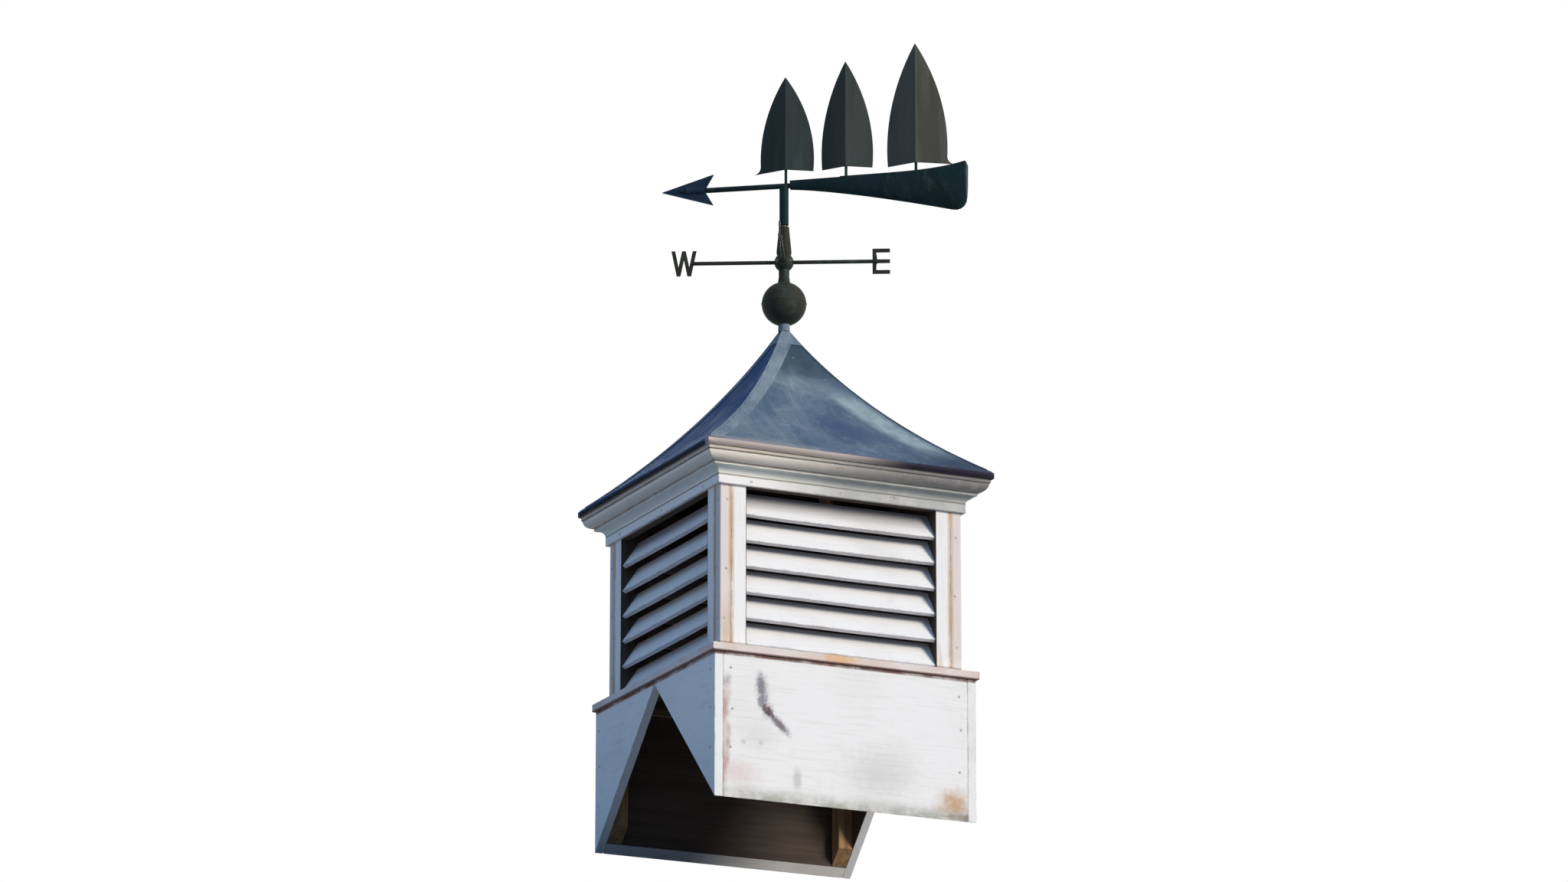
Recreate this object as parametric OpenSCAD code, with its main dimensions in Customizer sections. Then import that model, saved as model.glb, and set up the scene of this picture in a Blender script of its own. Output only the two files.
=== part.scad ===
// Louvred cupola for the ridge of a small roof, with a flared sheet-metal roof,
// a ball, four compass arms and a ship vane that turns on a spindle.
// X runs along the ridge, -Y is the front, towards the eave, and Z is up.
// The origin is on the spindle's axis, level with the lowest edges of the base.

/* [Base] */
// Outside width of the square base
base_w = 576; // [550:2:700]
// Thickness of the base boards and of the head rails
board_t = 19; // [14:1:25]
// Slope of the roof that the base straddles, in degrees
ridge_slope = 45; // [30:1:50]
// Wood left above the notch in each side board
notch_web = 6; // [4:1:40]
// Side of the square nailing blocks in the corners of the base
block_w = 32; // [20:1:45]

/* [Sill] */
// Thickness of the sill boards
sill_t = 22; // [16:1:32]
// How far the sill stands out beyond the base
sill_out = 6; // [2:1:20]
// How far the sill's outer edge is planed down, to shed rain
sill_wash = 6; // [0:1:12]

/* [Louvred body] */
// How far each face of the louvred body stands in from the base
body_in = 20; // [8:1:40]
// Side of each square corner post
post_w = 58; // [54:1:80]
// Side of the square strip let into each post's outer corner
strip_w = 25; // [15:1:32]
// Radius of the strip's eased outer edge
strip_ease = 3; // [1:0.5:6]
// Number of blades on each side
blade_count = 6; // [3:1:9]
// Height from one blade to the next
blade_pitch = 53; // [40:0.5:58]
// Width of a blade, up its slope
blade_w = 64; // [45:1:70]
// Thickness of a blade
blade_t = 9; // [6:0.5:13]
// Slope of the blades from level, in degrees
blade_slope = 56; // [45:1:65]
// How far the blades lie behind the face of the posts
blade_recess = 3; // [1:0.5:6]
// Depth of the grooves in the posts that hold the blades
groove_depth = 8; // [4:0.5:12]
// Gap between the top blade and the head rail
head_gap = 2; // [1:0.5:20]

/* [Cornice] */
// Height of the flat lip at the foot of the cornice
lip_h = 18; // [8:1:30]
// How far the lip stands out from the posts
lip_out = 7; // [3:1:15]
// Radius of the hollow above the lip
cove_r = 16; // [8:1:25]
// Height of the flat fillet above the hollow
fillet_h = 6; // [3:1:12]
// Radius of the round above the fillet
ovolo_r = 18; // [8:1:25]
// Height of the flat band at the top
band_h = 18; // [10:1:30]
// Step from each of the two rounds to the flat above it
cornice_step = 2; // [1:0.5:5]

/* [Roof] */
// Height of the metal roof, from the top of the cornice to its point
roof_h = 357; // [260:1:460]
// How far the middle of each slope hangs below a straight line
roof_sag = 27; // [12:1:45]
// Thickness of the roof sheets
sheet_t = 1.5; // [0.8:0.1:3]
// Gap between the cornice and the turned-down edge of the sheets
hem_gap = 3.5; // [1:0.5:10]
// Depth of the turned-down edge
hem_drop = 12; // [5:1:16]
// Rise of the sheets at their edge, above the top of the cornice
eave_lift = 2; // [1:0.5:6]
// Thickness of the hip rafters
rafter_t = 24; // [16:1:38]
// Height of the hip rafters
rafter_h = 58; // [35:1:90]
// Side of the square block that the rafters meet in
king_w = 70; // [50:1:100]
// Height of that block, down from the roof's point
king_h = 150; // [110:1:220]

/* [Finial] */
// Height of the metal cap over the roof's point
cap_h = 46; // [30:1:80]
// Radius of the collar on the cap
collar_r = 12; // [10:0.5:18]
// Height of the collar above the roof's point
collar_h = 3; // [2:1:30]
// Depth of the collar below the roof's point
collar_foot = 12; // [8:1:24]
// Diameter of the ball
ball_d = 92; // [60:1:120]
// Wall of the ball
ball_wall = 2; // [1:0.5:5]
// How much wider than the collar the flats on the ball are, all round
flat_out = 1; // [0:0.5:4]
// Diameter of the fixed spindle
spindle_d = 12; // [8:0.5:15]

/* [Compass] */
// Height of the turned hub that holds the compass arms
hub_h = 120; // [95:1:160]
// Height of the arms above the foot of the hub
arm_rise = 45; // [35:1:60]
// Radius of the hub's bulb
bulb_r = 20; // [18:0.5:28]
// Height of the flat above the hub's bulb
neck_flat = 4; // [1:0.5:10]
// Radius of the hub at its top
hub_top_r = 11; // [9.5:0.5:14]
// Height of the straight rim at the hub's top
hub_rim = 6; // [2:0.5:12]
// Diameter of the compass arms
arm_d = 8; // [5:0.5:12]
// Distance from the spindle to the inner edge of each letter
arm_reach = 182; // [120:1:230]
// Depth of the sockets for the arms
socket_depth = 9; // [5:0.5:10]
// Height of the compass letters
letter_h = 54; // [35:1:70]
// Width of the compass letters
letter_w = 36; // [28:1:50]
// Width of the strokes of the letters
letter_stroke = 8; // [5:0.5:10]
// Thickness of the letters
letter_t = 3; // [2:0.5:6]
// How far an arm's end reaches past the first stroke of its letter
letter_bite = 2; // [0:0.5:6]
// Turn of the compass from the ridge, in degrees
compass_turn = -28; // [-180:1:180]

/* [Vane] */
// Turn of the stored vane from the ridge, in degrees
vane_turn = -36; // [-180:1:180]
// Outer diameter of the vane's sleeve
sleeve_d = 19; // [17:0.5:26]
// Thickness of the sleeve's closed end, under the bar
sleeve_end = 4; // [2:0.5:10]
// Height of the vane's bar above the hub
bar_rise = 90; // [60:1:130]
// Diameter of the vane's bar
bar_d = 11; // [6:0.5:14]
// Distance from the spindle to the arrow's point
arrow_reach = 256; // [200:1:320]
// Length of the arrow's head
arrow_l = 108; // [80:1:140]
// Height of the arrow's head across its barbs
arrow_w = 66; // [40:1:90]
// Thickness of the arrow's head
arrow_t = 6; // [4:0.5:9]
// Depth of the notch between the arrow's barbs
arrow_notch = 19; // [5:1:30]
// Solid length of the arrow's head, ahead of the bar
arrow_solid = 34; // [28:1:50]
// Length of the tube that holds the bar in the arrow's head
arrow_tube = 38; // [15:1:50]
// Wall of that tube
tube_wall = 2.5; // [1:0.5:5]
// Distance from the spindle to the stern
stern_reach = 382; // [340:1:400]
// Gap between the sleeve and the ship's bow
bow_gap = 4; // [2:0.5:12]
// Width of the ship's hull
beam = 36; // [26:1:60]
// Height of the deck above the middle of the bar
deck_lift = 9; // [8:0.5:12]
// Depth of the hull below its deck, at the bow
bow_depth = 18; // [17:0.5:30]
// Depth of the hull below its deck, at the stern
stern_depth = 88; // [50:1:100]
// Rise of the deck at the stern
stern_rise = 18; // [0:1:30]
// Radius of the turn from the keel up to the stern
stern_turn = 30; // [10:1:40]
// Metal left between the bar's end and the main mast
bar_stop = 4; // [1:0.5:10]
// Diameter of the masts
mast_d = 6; // [4:0.5:10]
// Height of the foot of the sails above the bar
sail_lift = 34; // [30:1:45]
// Thickness of the sails
sail_t = 2; // [1:0.5:4]
// Slope of each half of a sail from flat, in degrees
sail_fold = 20; // [5:1:25]
// How far the outer corners of the fore and aft sails flare out at their feet
sail_flare = 14; // [2:1:20]
// Height and width of the fore sail
sail_fore = [201, 112]; // [90:1:280]
// Height and width of the main sail
sail_main = [228, 108]; // [90:1:280]
// Height and width of the aft sail
sail_aft = [258, 126]; // [90:1:280]
// Places of the three masts along the bar, from the spindle
mast_at = [4, 130, 276]; // [0:1:300]

/* [Fits] */
// Gap left where one fixed piece seats in or on another
seat = 0.3; // [0.1:0.1:0.6]
// Running clearance of the sleeve round the spindle
run_fit = 0.05; // [0.02:0.01:0.09]
// Gap between the turning sleeve and the hub below it
turn_gap = 5; // [5:1:10]

/* [Hidden] */

// A turn count for each side of the square plan
FRONT = 0;
RIGHT = 1;
BACK = 2;
LEFT = 3;

$fn = 48;
arc_fn = 360;

paint = "#eceae4";
aged_paint = "#c9c6ba";
raw_wood = "#b39b78";
slate_metal = "#56697c";
dark_bronze = "#2b3533";
verdigris = "#2c4644";

// Base and sill
base_half = base_w / 2;
inner_half = base_half - board_t;
slope_rise = tan(ridge_slope);
base_h = base_half * slope_rise + notch_web;
body_half = base_half - body_in;
sill_half = base_half + sill_out;
open_half = body_half - post_w;
sill_top = base_h + sill_t;

// Louvres
blade_rise = blade_w * sin(blade_slope) + blade_t * cos(blade_slope);
open_h = (blade_count - 1) * blade_pitch + blade_rise + head_gap + seat;
head_z = sill_top + open_h;
blade_edge = body_half - blade_recess - blade_t * sin(blade_slope);

// Cornice
cornice_h = lip_h + cove_r + fillet_h + ovolo_r + band_h;
cornice_out = lip_out + cove_r + ovolo_r + 2 * cornice_step;
plate_z = head_z + cornice_h;

// Each slope of the roof is an arc from the eave to the point. Its centre
// lies outside the roof, so the slope is hollow.
eave_half = body_half + cornice_out + hem_gap + sheet_t;
slope_run = eave_half;
slope_lift = roof_h - eave_lift;
chord = norm([slope_run, slope_lift]);
arc_r = (chord * chord / 4 + roof_sag * roof_sag) / (2 * roof_sag);
arc_u = slope_run / 2 + slope_lift / chord * (arc_r - roof_sag);
arc_v = eave_lift + slope_lift / 2 + slope_run / chord * (arc_r - roof_sag);
spindle_r = spindle_d / 2;
tip_half = spindle_r + seat;

// Finial, compass and vane, from the roof's point up
apex_z = plate_z + roof_h;
ball_r = ball_d / 2;
flat_r = collar_r + flat_out;
ball_half_h = sqrt(ball_r * ball_r - flat_r * flat_r);
ball_z = apex_z + collar_h + seat + ball_half_h;
hub_z = ball_z + ball_half_h + seat;
hub_top = hub_z + hub_h;
arm_z = hub_z + arm_rise;
bar_z = hub_top + bar_rise;
bar_r = bar_d / 2;
sleeve_r = sleeve_d / 2;
spindle_top = bar_z - bar_r - sleeve_end - seat;
king_z = apex_z - king_h;
mast_r = mast_d / 2;
sails = [sail_fore, sail_main, sail_aft];
mast_share = 0.86;
foot_share = 0.14;

// The bar's two ends, and the ship's hull
bar_front = arrow_reach - arrow_solid;
bar_tail = mast_at[1] - mast_r - bar_stop;
bow = sleeve_r + bow_gap;
bow_half = bar_r + tube_wall;
turn_x = stern_reach - stern_turn;
body_stations = 16;
turn_stations = 5;
ring = 14;
sheer_power = 6;
keel_power = 1.3;
beam_turn = 125;

// A length past every piece, and a small overshoot for cuts
far = 2 * base_w;
eps = 1;

// Turns a piece drawn at the front to the side that it belongs to
module at_side(side) {
    rotate([0, 0, 90 * side]) children();
}

// Runs a section along the front. The section's first axis points outwards
// from the middle of the cupola, and its second axis points up.
module front_run(run) {
    rotate([90, 0, -90]) linear_extrude(height = run, center = true) children();
}

// Cuts a front run to 45 degree mitres at both ends
module mitred() {
    intersection() {
        front_run(far) children();
        translate([0, 0, -far]) linear_extrude(height = 2 * far)
            polygon([[0, 0], [-far, -far], [far, -far]]);
    }
}

// Front or back board of the base, between the side boards, with its lower
// edge bevelled to lie on the roof
module eave_board() {
    front_run(2 * inner_half) polygon([
        [inner_half, board_t * slope_rise],
        [base_half, 0],
        [base_half, base_h],
        [inner_half, base_h]
    ]);
}

// Side board of the base, notched to sit over the ridge
module ridge_board() {
    translate([0, -inner_half, 0]) rotate([90, 0, 0]) linear_extrude(height = board_t) polygon([
        [-base_half, 0],
        [0, base_half * slope_rise],
        [base_half, 0],
        [base_half, base_h],
        [-base_half, base_h]
    ]);
}

// One nailing block at each inside corner of the base
module base_blocks() {
    block_in = inner_half - block_w;
    color(raw_wood) for (side = [FRONT, BACK], x = [-1, 1]) at_side(side)
        translate([x * (inner_half - block_w / 2), 0, 0]) front_run(block_w) polygon([
            [block_in, (board_t + block_w) * slope_rise],
            [inner_half, board_t * slope_rise],
            [inner_half, base_h],
            [block_in, base_h]
        ]);
}

// Sill board, mitred at the corners, with a planed outer edge
module sill_board() {
    translate([0, 0, base_h]) mitred() polygon([
        [open_half, 0],
        [sill_half, 0],
        [sill_half, sill_t - sill_wash],
        [body_half, sill_t],
        [open_half, sill_t]
    ]);
}

module sills(sides) {
    color(paint) for (side = sides) at_side(side) sill_board();
}

// Sections of all the blades of a side, each grown by the play
module blade_sections(play) {
    for (i = [0 : blade_count - 1])
        translate([blade_edge, sill_top + seat + i * blade_pitch]) rotate(180 - blade_slope)
            translate([-play, -blade_t - play]) square([blade_w + 2 * play, blade_t + 2 * play]);
}

// The blades of one side, held at both ends in the grooves of the posts
module blades() {
    front_run(2 * (open_half + groove_depth - seat)) blade_sections(0);
}

module blade_grooves() {
    front_run(2 * (open_half + groove_depth)) blade_sections(seat);
}

// Corner post, grooved for the blades on its two inner faces and rebated for
// the corner strip. It is drawn at the front left.
module corner_post() {
    difference() {
        translate([-body_half, -body_half, sill_top]) cube([post_w, post_w, plate_z - sill_top]);
        translate([-body_half - eps, -body_half - eps, sill_top - eps])
            cube([strip_w + eps, strip_w + eps, plate_z - sill_top + 2 * eps]);
        at_side(FRONT) blade_grooves();
        at_side(LEFT) blade_grooves();
    }
}

// Four strips that cover the posts' corners, each with its outer edge eased
module corner_strips() {
    color(paint) for (side = [FRONT, RIGHT, BACK, LEFT]) at_side(side)
        translate([-body_half, -body_half, sill_top]) linear_extrude(height = plate_z - sill_top) {
            translate([strip_ease, strip_ease]) circle(r = strip_ease);
            translate([strip_ease, 0]) square([strip_w - strip_ease, strip_w]);
            translate([0, strip_ease]) square([strip_w, strip_w - strip_ease]);
        }
}

// Head rail between two posts, behind the cornice
module head_rail() {
    translate([-open_half, -body_half, head_z]) cube([2 * open_half, board_t, cornice_h]);
}

module heads(sides) {
    color(paint) for (side = sides) at_side(side) head_rail();
}

// Section of the cornice: lip, hollow, fillet, round and flat band
module cornice_section() {
    cove_top = lip_h + cove_r;
    fillet_out = lip_out + cove_r + cornice_step;
    ovolo_foot = cove_top + fillet_h;
    difference() {
        square([lip_out + cove_r, cove_top]);
        translate([lip_out, -eps]) square([cove_r + eps, lip_h + eps]);
        translate([lip_out + cove_r, lip_h]) circle(r = cove_r);
    }
    translate([0, cove_top]) square([fillet_out, fillet_h]);
    translate([0, ovolo_foot]) square([fillet_out, ovolo_r]);
    intersection() {
        translate([fillet_out, ovolo_foot + ovolo_r]) circle(r = ovolo_r);
        translate([fillet_out - eps, ovolo_foot]) square([ovolo_r + eps, ovolo_r]);
    }
    translate([0, ovolo_foot + ovolo_r]) square([cornice_out, band_h]);
}

module cornice() {
    translate([0, 0, head_z]) mitred() translate([body_half, 0]) cornice_section();
}

// The arcs of the roof's two slopes, moved in by a depth below the outer face
module slope_arcs(depth) {
    for (m = [0, 1]) mirror([m, 0]) translate([arc_u, arc_v]) circle(r = arc_r + depth, $fn = arc_fn);
}

// The solid shape under the roof's outer face, less a depth all over
module under_roof(depth) {
    half = eave_half - depth;
    translate([0, 0, plate_z]) intersection_for (side = [FRONT, RIGHT]) at_side(side)
        front_run(2 * half) difference() {
            translate([-half, 0]) square([2 * half, roof_h + cap_h]);
            slope_arcs(depth);
        }
}

// One slope of the sheet-metal roof with its turned-down edge
module roof_sheet() {
    translate([0, 0, plate_z]) mitred() {
        difference() {
            intersection() {
                translate([tip_half, 0]) square([eave_half - tip_half, roof_h]);
                translate([arc_u, arc_v]) circle(r = arc_r + sheet_t, $fn = arc_fn);
            }
            translate([arc_u, arc_v]) circle(r = arc_r, $fn = arc_fn);
        }
        translate([eave_half - sheet_t, -hem_drop]) square([sheet_t, hem_drop + eave_lift]);
    }
}

// Four rafters under the hips, from the posts up to the king block. Their
// tops are cut to the underside of the sheets.
module hip_rafters() {
    under = sheet_t + seat;
    color(raw_wood) difference() {
        intersection() {
            under_roof(under);
            for (turn = [45, -45]) rotate([0, 0, turn])
                translate([-far / 2, -rafter_t / 2, plate_z]) cube([far, rafter_t, roof_h]);
        }
        translate([0, 0, -rafter_h]) under_roof(under);
        translate([-king_w / 2, -king_w / 2, plate_z - eps]) cube([king_w, king_w, roof_h + 2 * eps]);
    }
}

// Block at the top of the rafters, bored for the spindle
module king_block() {
    color(raw_wood) difference() {
        intersection() {
            under_roof(sheet_t + seat);
            translate([-king_w / 2, -king_w / 2, king_z]) cube([king_w, king_w, king_h]);
        }
        translate([0, 0, king_z - eps]) cylinder(h = king_h + 2 * eps, r = spindle_r + seat);
    }
}

// Folded cap over the roof's point, with the collar that carries the ball
module roof_cap() {
    color(slate_metal) difference() {
        union() {
            intersection() {
                under_roof(-seat - sheet_t);
                translate([-far / 2, -far / 2, apex_z - cap_h]) cube([far, far, cap_h + collar_h]);
            }
            translate([0, 0, apex_z - collar_foot])
                cylinder(h = collar_foot + collar_h, r = collar_r);
        }
        under_roof(-seat);
        translate([0, 0, apex_z - collar_foot - eps])
            cylinder(h = collar_foot + collar_h + 2 * eps, r = spindle_r + seat);
    }
}

// Hollow ball on a tube that fits the spindle
module ball() {
    color(dark_bronze) translate([0, 0, ball_z]) difference() {
        intersection() {
            sphere(r = ball_r, $fn = 96);
            cylinder(h = 2 * ball_half_h, r = ball_r + eps, center = true);
        }
        difference() {
            sphere(r = ball_r - ball_wall, $fn = 96);
            cylinder(h = ball_d, r = spindle_r + seat + ball_wall, center = true);
        }
        cylinder(h = ball_d, r = spindle_r + seat, center = true);
    }
}

// Fixed spindle from the king block to its round point inside the sleeve
module spindle() {
    color(dark_bronze) translate([0, 0, king_z])
        cylinder(h = spindle_top - spindle_r - king_z, r = spindle_r);
    color(dark_bronze) translate([0, 0, spindle_top - spindle_r]) sphere(r = spindle_r);
}

// Turned hub on the ball, with four sockets for the compass arms
module compass_hub() {
    neck_r = (hub_top_r + bulb_r) / 2;
    foot_h = arm_rise - bulb_r;
    color(dark_bronze) translate([0, 0, hub_z]) difference() {
        rotate_extrude() difference() {
            union() {
                polygon([
                    [0, 0], [flat_r, 0], [hub_top_r, foot_h / 2], [hub_top_r, arm_rise],
                    [neck_r, arm_rise + bulb_r], [neck_r, arm_rise + bulb_r + neck_flat],
                    [hub_top_r, hub_h - hub_rim], [hub_top_r, hub_h], [0, hub_h]
                ]);
                intersection() {
                    translate([0, arm_rise]) circle(r = bulb_r);
                    translate([0, arm_rise - bulb_r]) square([bulb_r, 2 * bulb_r]);
                }
            }
            translate([-eps, -eps]) square([spindle_r + seat + eps, hub_h + 2 * eps]);
        }
        for (turn = [0 : 90 : 270]) rotate([0, 0, compass_turn + turn])
            translate([bulb_r - socket_depth, 0, arm_rise]) rotate([0, 90, 0])
                cylinder(h = bulb_r, r = arm_d / 2 + seat);
    }
}

// One stroke of a letter, slanted from its foot to its head
module stroke(foot, head) {
    across = [letter_stroke, 0];
    polygon([foot, foot + across, head + across, head]);
}

module letter_north() {
    right = letter_w - letter_stroke;
    stroke([0, 0], [0, letter_h]);
    stroke([right, 0], [right, letter_h]);
    stroke([right, 0], [0, letter_h]);
}

module letter_east() {
    stroke([0, 0], [0, letter_h]);
    for (v = [0, (letter_h - letter_stroke) / 2, letter_h - letter_stroke])
        translate([0, v]) square([letter_w, letter_stroke]);
}

module letter_west() {
    step = (letter_w + letter_stroke) / 4;
    low = [for (i = [1, 3]) [i * step - letter_stroke / 4, 0]];
    high = [for (i = [0, 2, 4]) [i * step - letter_stroke / 4, letter_h]];
    stroke(low[0], high[0]);
    stroke(low[0], high[1]);
    stroke(low[1], high[1]);
    stroke(low[1], high[2]);
}

module letter_south() {
    bend_r = (letter_h + letter_stroke) / 4;
    for (half = [0, 1]) translate([bend_r, letter_h / 2]) rotate(180 * half)
        translate([0, letter_h / 2 - bend_r]) difference() {
            circle(r = bend_r);
            circle(r = bend_r - letter_stroke);
            translate([0, -bend_r]) square([bend_r, bend_r]);
        }
}

// One compass arm with its letter cut from plate
module compass_arm(turn) {
    bite = letter_stroke + letter_bite;
    start = bulb_r - socket_depth;
    color(dark_bronze) rotate([0, 0, compass_turn + turn]) translate([0, 0, arm_z]) {
        translate([start, 0, 0]) rotate([0, 90, 0]) cylinder(h = arm_reach + bite - start, r = arm_d / 2);
        translate([arm_reach, letter_t / 2, -letter_h / 2]) rotate([90, 0, 0])
            linear_extrude(height = letter_t) children();
    }
}

// Puts a vane piece at its stored turn and at the height of the bar
module on_vane() {
    rotate([0, 0, vane_turn]) translate([0, 0, bar_z]) children();
}

// Sleeve that turns on the spindle, closed above its point, with a saddle
// across its top for the bar
module vane_sleeve() {
    foot = hub_top + turn_gap - bar_z;
    tip = spindle_top + seat - bar_z;
    bore_r = spindle_r + run_fit;
    color(verdigris) on_vane() difference() {
        translate([0, 0, foot]) cylinder(h = -foot, r = sleeve_r);
        translate([0, 0, foot - eps]) cylinder(h = tip - foot + eps, r = bore_r);
        rotate([0, 90, 0]) cylinder(h = far, r = bar_r + seat / 2, center = true);
    }
}

// Bar from the arrow's head, over the sleeve and into the hull
module vane_bar() {
    color(verdigris) on_vane() translate([-bar_front, 0, 0]) rotate([0, 90, 0])
        cylinder(h = bar_front + bar_tail, r = bar_r);
}

// Arrow's head, cut from plate, with a tube round the bar
module arrow_head() {
    barbs = -arrow_reach + arrow_l;
    notch = barbs - arrow_notch;
    color(verdigris) on_vane() difference() {
        union() {
            rotate([90, 0, 0]) linear_extrude(height = arrow_t, center = true) polygon([
                [-arrow_reach, 0],
                [barbs, arrow_w / 2],
                [notch, 0],
                [barbs, -arrow_w / 2]
            ]);
            translate([notch - arrow_tube, 0, 0]) rotate([0, 90, 0])
                cylinder(h = arrow_tube, r = bar_r + tube_wall);
        }
        translate([-bar_front - seat, 0, 0]) rotate([0, 90, 0])
            cylinder(h = arrow_l, r = bar_r + seat / 2);
    }
}

// Ship's hull, drawn through a ring of points at each station from the bow to
// the stern. Past the turn, the stations follow a quarter circle up the stern.
function station_x(i) = i <= body_stations
    ? bow + (turn_x - bow) * i / body_stations
    : turn_x + stern_turn * sin(90 * (i - body_stations) / turn_stations);
function along(x) = (x - bow) / (stern_reach - bow);
function deck_z(x) = deck_lift + stern_rise * pow(along(x), sheer_power);
function turn_lift(x) = x <= turn_x ? 0 : stern_turn - sqrt(pow(stern_turn, 2) - pow(x - turn_x, 2));
function depth(x) = bow_depth + (stern_depth - bow_depth) * pow(along(x), keel_power);
function keel_z(x) = deck_lift - depth(x) + turn_lift(x);
function half_beam(x) = bow_half + (beam / 2 - bow_half) * sin(beam_turn * along(x));
function hull_ring(x) = [for (j = [0 : ring])
    let (a = 180 * j / ring, deck = deck_z(x))
    [x, half_beam(x) * cos(a), deck - (deck - keel_z(x)) * sin(a)]];

module ship_hull() {
    stations = body_stations + turn_stations;
    count = ring + 1;
    points = [for (i = [0 : stations]) each hull_ring(station_x(i))];
    skin = [for (i = [0 : stations - 1], j = [0 : ring])
        let (a = i * count + j, b = i * count + (j + 1) % count)
        [a, b, b + count, a + count]];
    nose = [for (j = [ring : -1 : 0]) j];
    tail = [for (j = [0 : ring]) stations * count + j];
    color(verdigris) on_vane() difference() {
        polyhedron(points = points, faces = concat(skin, [nose, tail]), convexity = 4);
        rotate([0, 90, 0]) cylinder(h = bar_tail + seat, r = bar_r + seat / 2);
        for (i = [1, 2]) translate([mast_at[i], 0, 0])
            cylinder(h = deck_lift + stern_rise + eps, r = mast_r + seat / 2);
    }
}

module mast(i, foot) {
    translate([mast_at[i], 0, foot]) cylinder(h = sail_lift + sails[i][0] * mast_share - foot, r = mast_r);
}

// Three masts. The first stands on the bar, and the others in the deck.
module masts() {
    color(verdigris) on_vane() {
        difference() {
            mast(0, 0);
            rotate([0, 90, 0]) cylinder(h = far, r = bar_r + seat / 2, center = true);
        }
        for (i = [1, 2]) mast(i, seat);
    }
}

// Outline of a sail: a pointed arch on a straight foot. The fore sail's front
// corner and the aft sail's back corner flare out.
module sail_outline(high, half, flare_side) {
    foot = high * foot_share;
    side_r = (pow(high - foot, 2) + half * half) / (2 * half);
    intersection() {
        translate([half - side_r, foot]) circle(r = side_r, $fn = 180);
        translate([side_r - half, foot]) circle(r = side_r, $fn = 180);
        translate([-half, 0]) square([2 * half, high]);
    }
    if (flare_side != 0) mirror([flare_side < 0 ? 1 : 0, 0]) translate([half - eps, 0]) difference() {
        square([sail_flare + eps, sail_flare]);
        translate([sail_flare + eps, sail_flare]) circle(r = sail_flare);
    }
}

// A pointed sail, folded along its middle and set against its mast
module sail(i) {
    high = sails[i][0];
    half = sails[i][1] / 2;
    wide = half + sail_flare;
    back = wide * tan(sail_fold);
    thick = sail_t / cos(sail_fold);
    gap = mast_r / cos(sail_fold) + seat;
    color(verdigris) on_vane() translate([mast_at[i], -gap - thick, sail_lift]) intersection() {
        translate([0, far / 2, 0]) rotate([90, 0, 0]) linear_extrude(height = far)
            sail_outline(high, half, i - 1);
        linear_extrude(height = high) polygon([
            [0, 0], [wide, back], [wide, back + thick], [0, thick], [-wide, back + thick], [-wide, back]
        ]);
    }
}

color(paint) at_side(FRONT) eave_board();  // base_front
color(paint) at_side(BACK) eave_board();  // base_back
color(paint) at_side(LEFT) ridge_board();  // base_left
color(paint) at_side(RIGHT) ridge_board();  // base_right
base_blocks();
sills([FRONT, BACK]);  // sills_front_back
sills([LEFT, RIGHT]);  // sills_left_right
color(paint) corner_post();  // post_front_left
color(paint) at_side(RIGHT) corner_post();  // post_front_right
color(paint) at_side(BACK) corner_post();  // post_back_right
color(paint) at_side(LEFT) corner_post();  // post_back_left
corner_strips();
color(paint) at_side(FRONT) blades();  // louvres_front
color(paint) at_side(BACK) blades();  // louvres_back
color(paint) at_side(LEFT) blades();  // louvres_left
color(paint) at_side(RIGHT) blades();  // louvres_right
heads([FRONT, BACK]);  // heads_front_back
heads([LEFT, RIGHT]);  // heads_left_right
color(aged_paint) at_side(FRONT) cornice();  // cornice_front
color(aged_paint) at_side(BACK) cornice();  // cornice_back
color(aged_paint) at_side(LEFT) cornice();  // cornice_left
color(aged_paint) at_side(RIGHT) cornice();  // cornice_right
hip_rafters();
king_block();
color(slate_metal) at_side(FRONT) roof_sheet();  // roof_front
color(slate_metal) at_side(BACK) roof_sheet();  // roof_back
color(slate_metal) at_side(LEFT) roof_sheet();  // roof_left
color(slate_metal) at_side(RIGHT) roof_sheet();  // roof_right
roof_cap();
ball();
spindle();
compass_hub();
compass_arm(90) letter_north();  // arm_north
compass_arm(0) letter_east();  // arm_east
compass_arm(270) letter_south();  // arm_south
compass_arm(180) letter_west();  // arm_west
vane_sleeve();
vane_bar();
arrow_head();
ship_hull();
masts();
sail(0);  // fore_sail
sail(1);  // main_sail
sail(2);  // aft_sail
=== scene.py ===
"""Looks of a louvred ridge cupola with a flared metal roof and a ship vane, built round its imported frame."""

import math
import random

import bmesh
import bpy
from bpy.props import FloatProperty, FloatVectorProperty, IntProperty, PointerProperty
from mathutils import Matrix, Vector, noise


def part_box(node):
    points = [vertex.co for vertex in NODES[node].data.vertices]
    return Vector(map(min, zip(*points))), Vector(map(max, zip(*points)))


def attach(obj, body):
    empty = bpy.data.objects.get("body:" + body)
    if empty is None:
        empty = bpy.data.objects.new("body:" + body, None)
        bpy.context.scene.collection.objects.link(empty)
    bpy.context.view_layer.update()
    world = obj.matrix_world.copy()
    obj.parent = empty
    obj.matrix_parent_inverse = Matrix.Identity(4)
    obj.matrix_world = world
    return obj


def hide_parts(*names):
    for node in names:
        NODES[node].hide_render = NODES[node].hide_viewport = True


bl_info = {
    "name": "Louvred Cupola",
    "version": (1, 0, 0),
    "blender": (4, 5, 0),
    "location": "View3D > Sidebar > Cupola",
    "description": "Builds the looks of a louvred cupola with a ship vane",
    "category": "Object",
}

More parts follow.
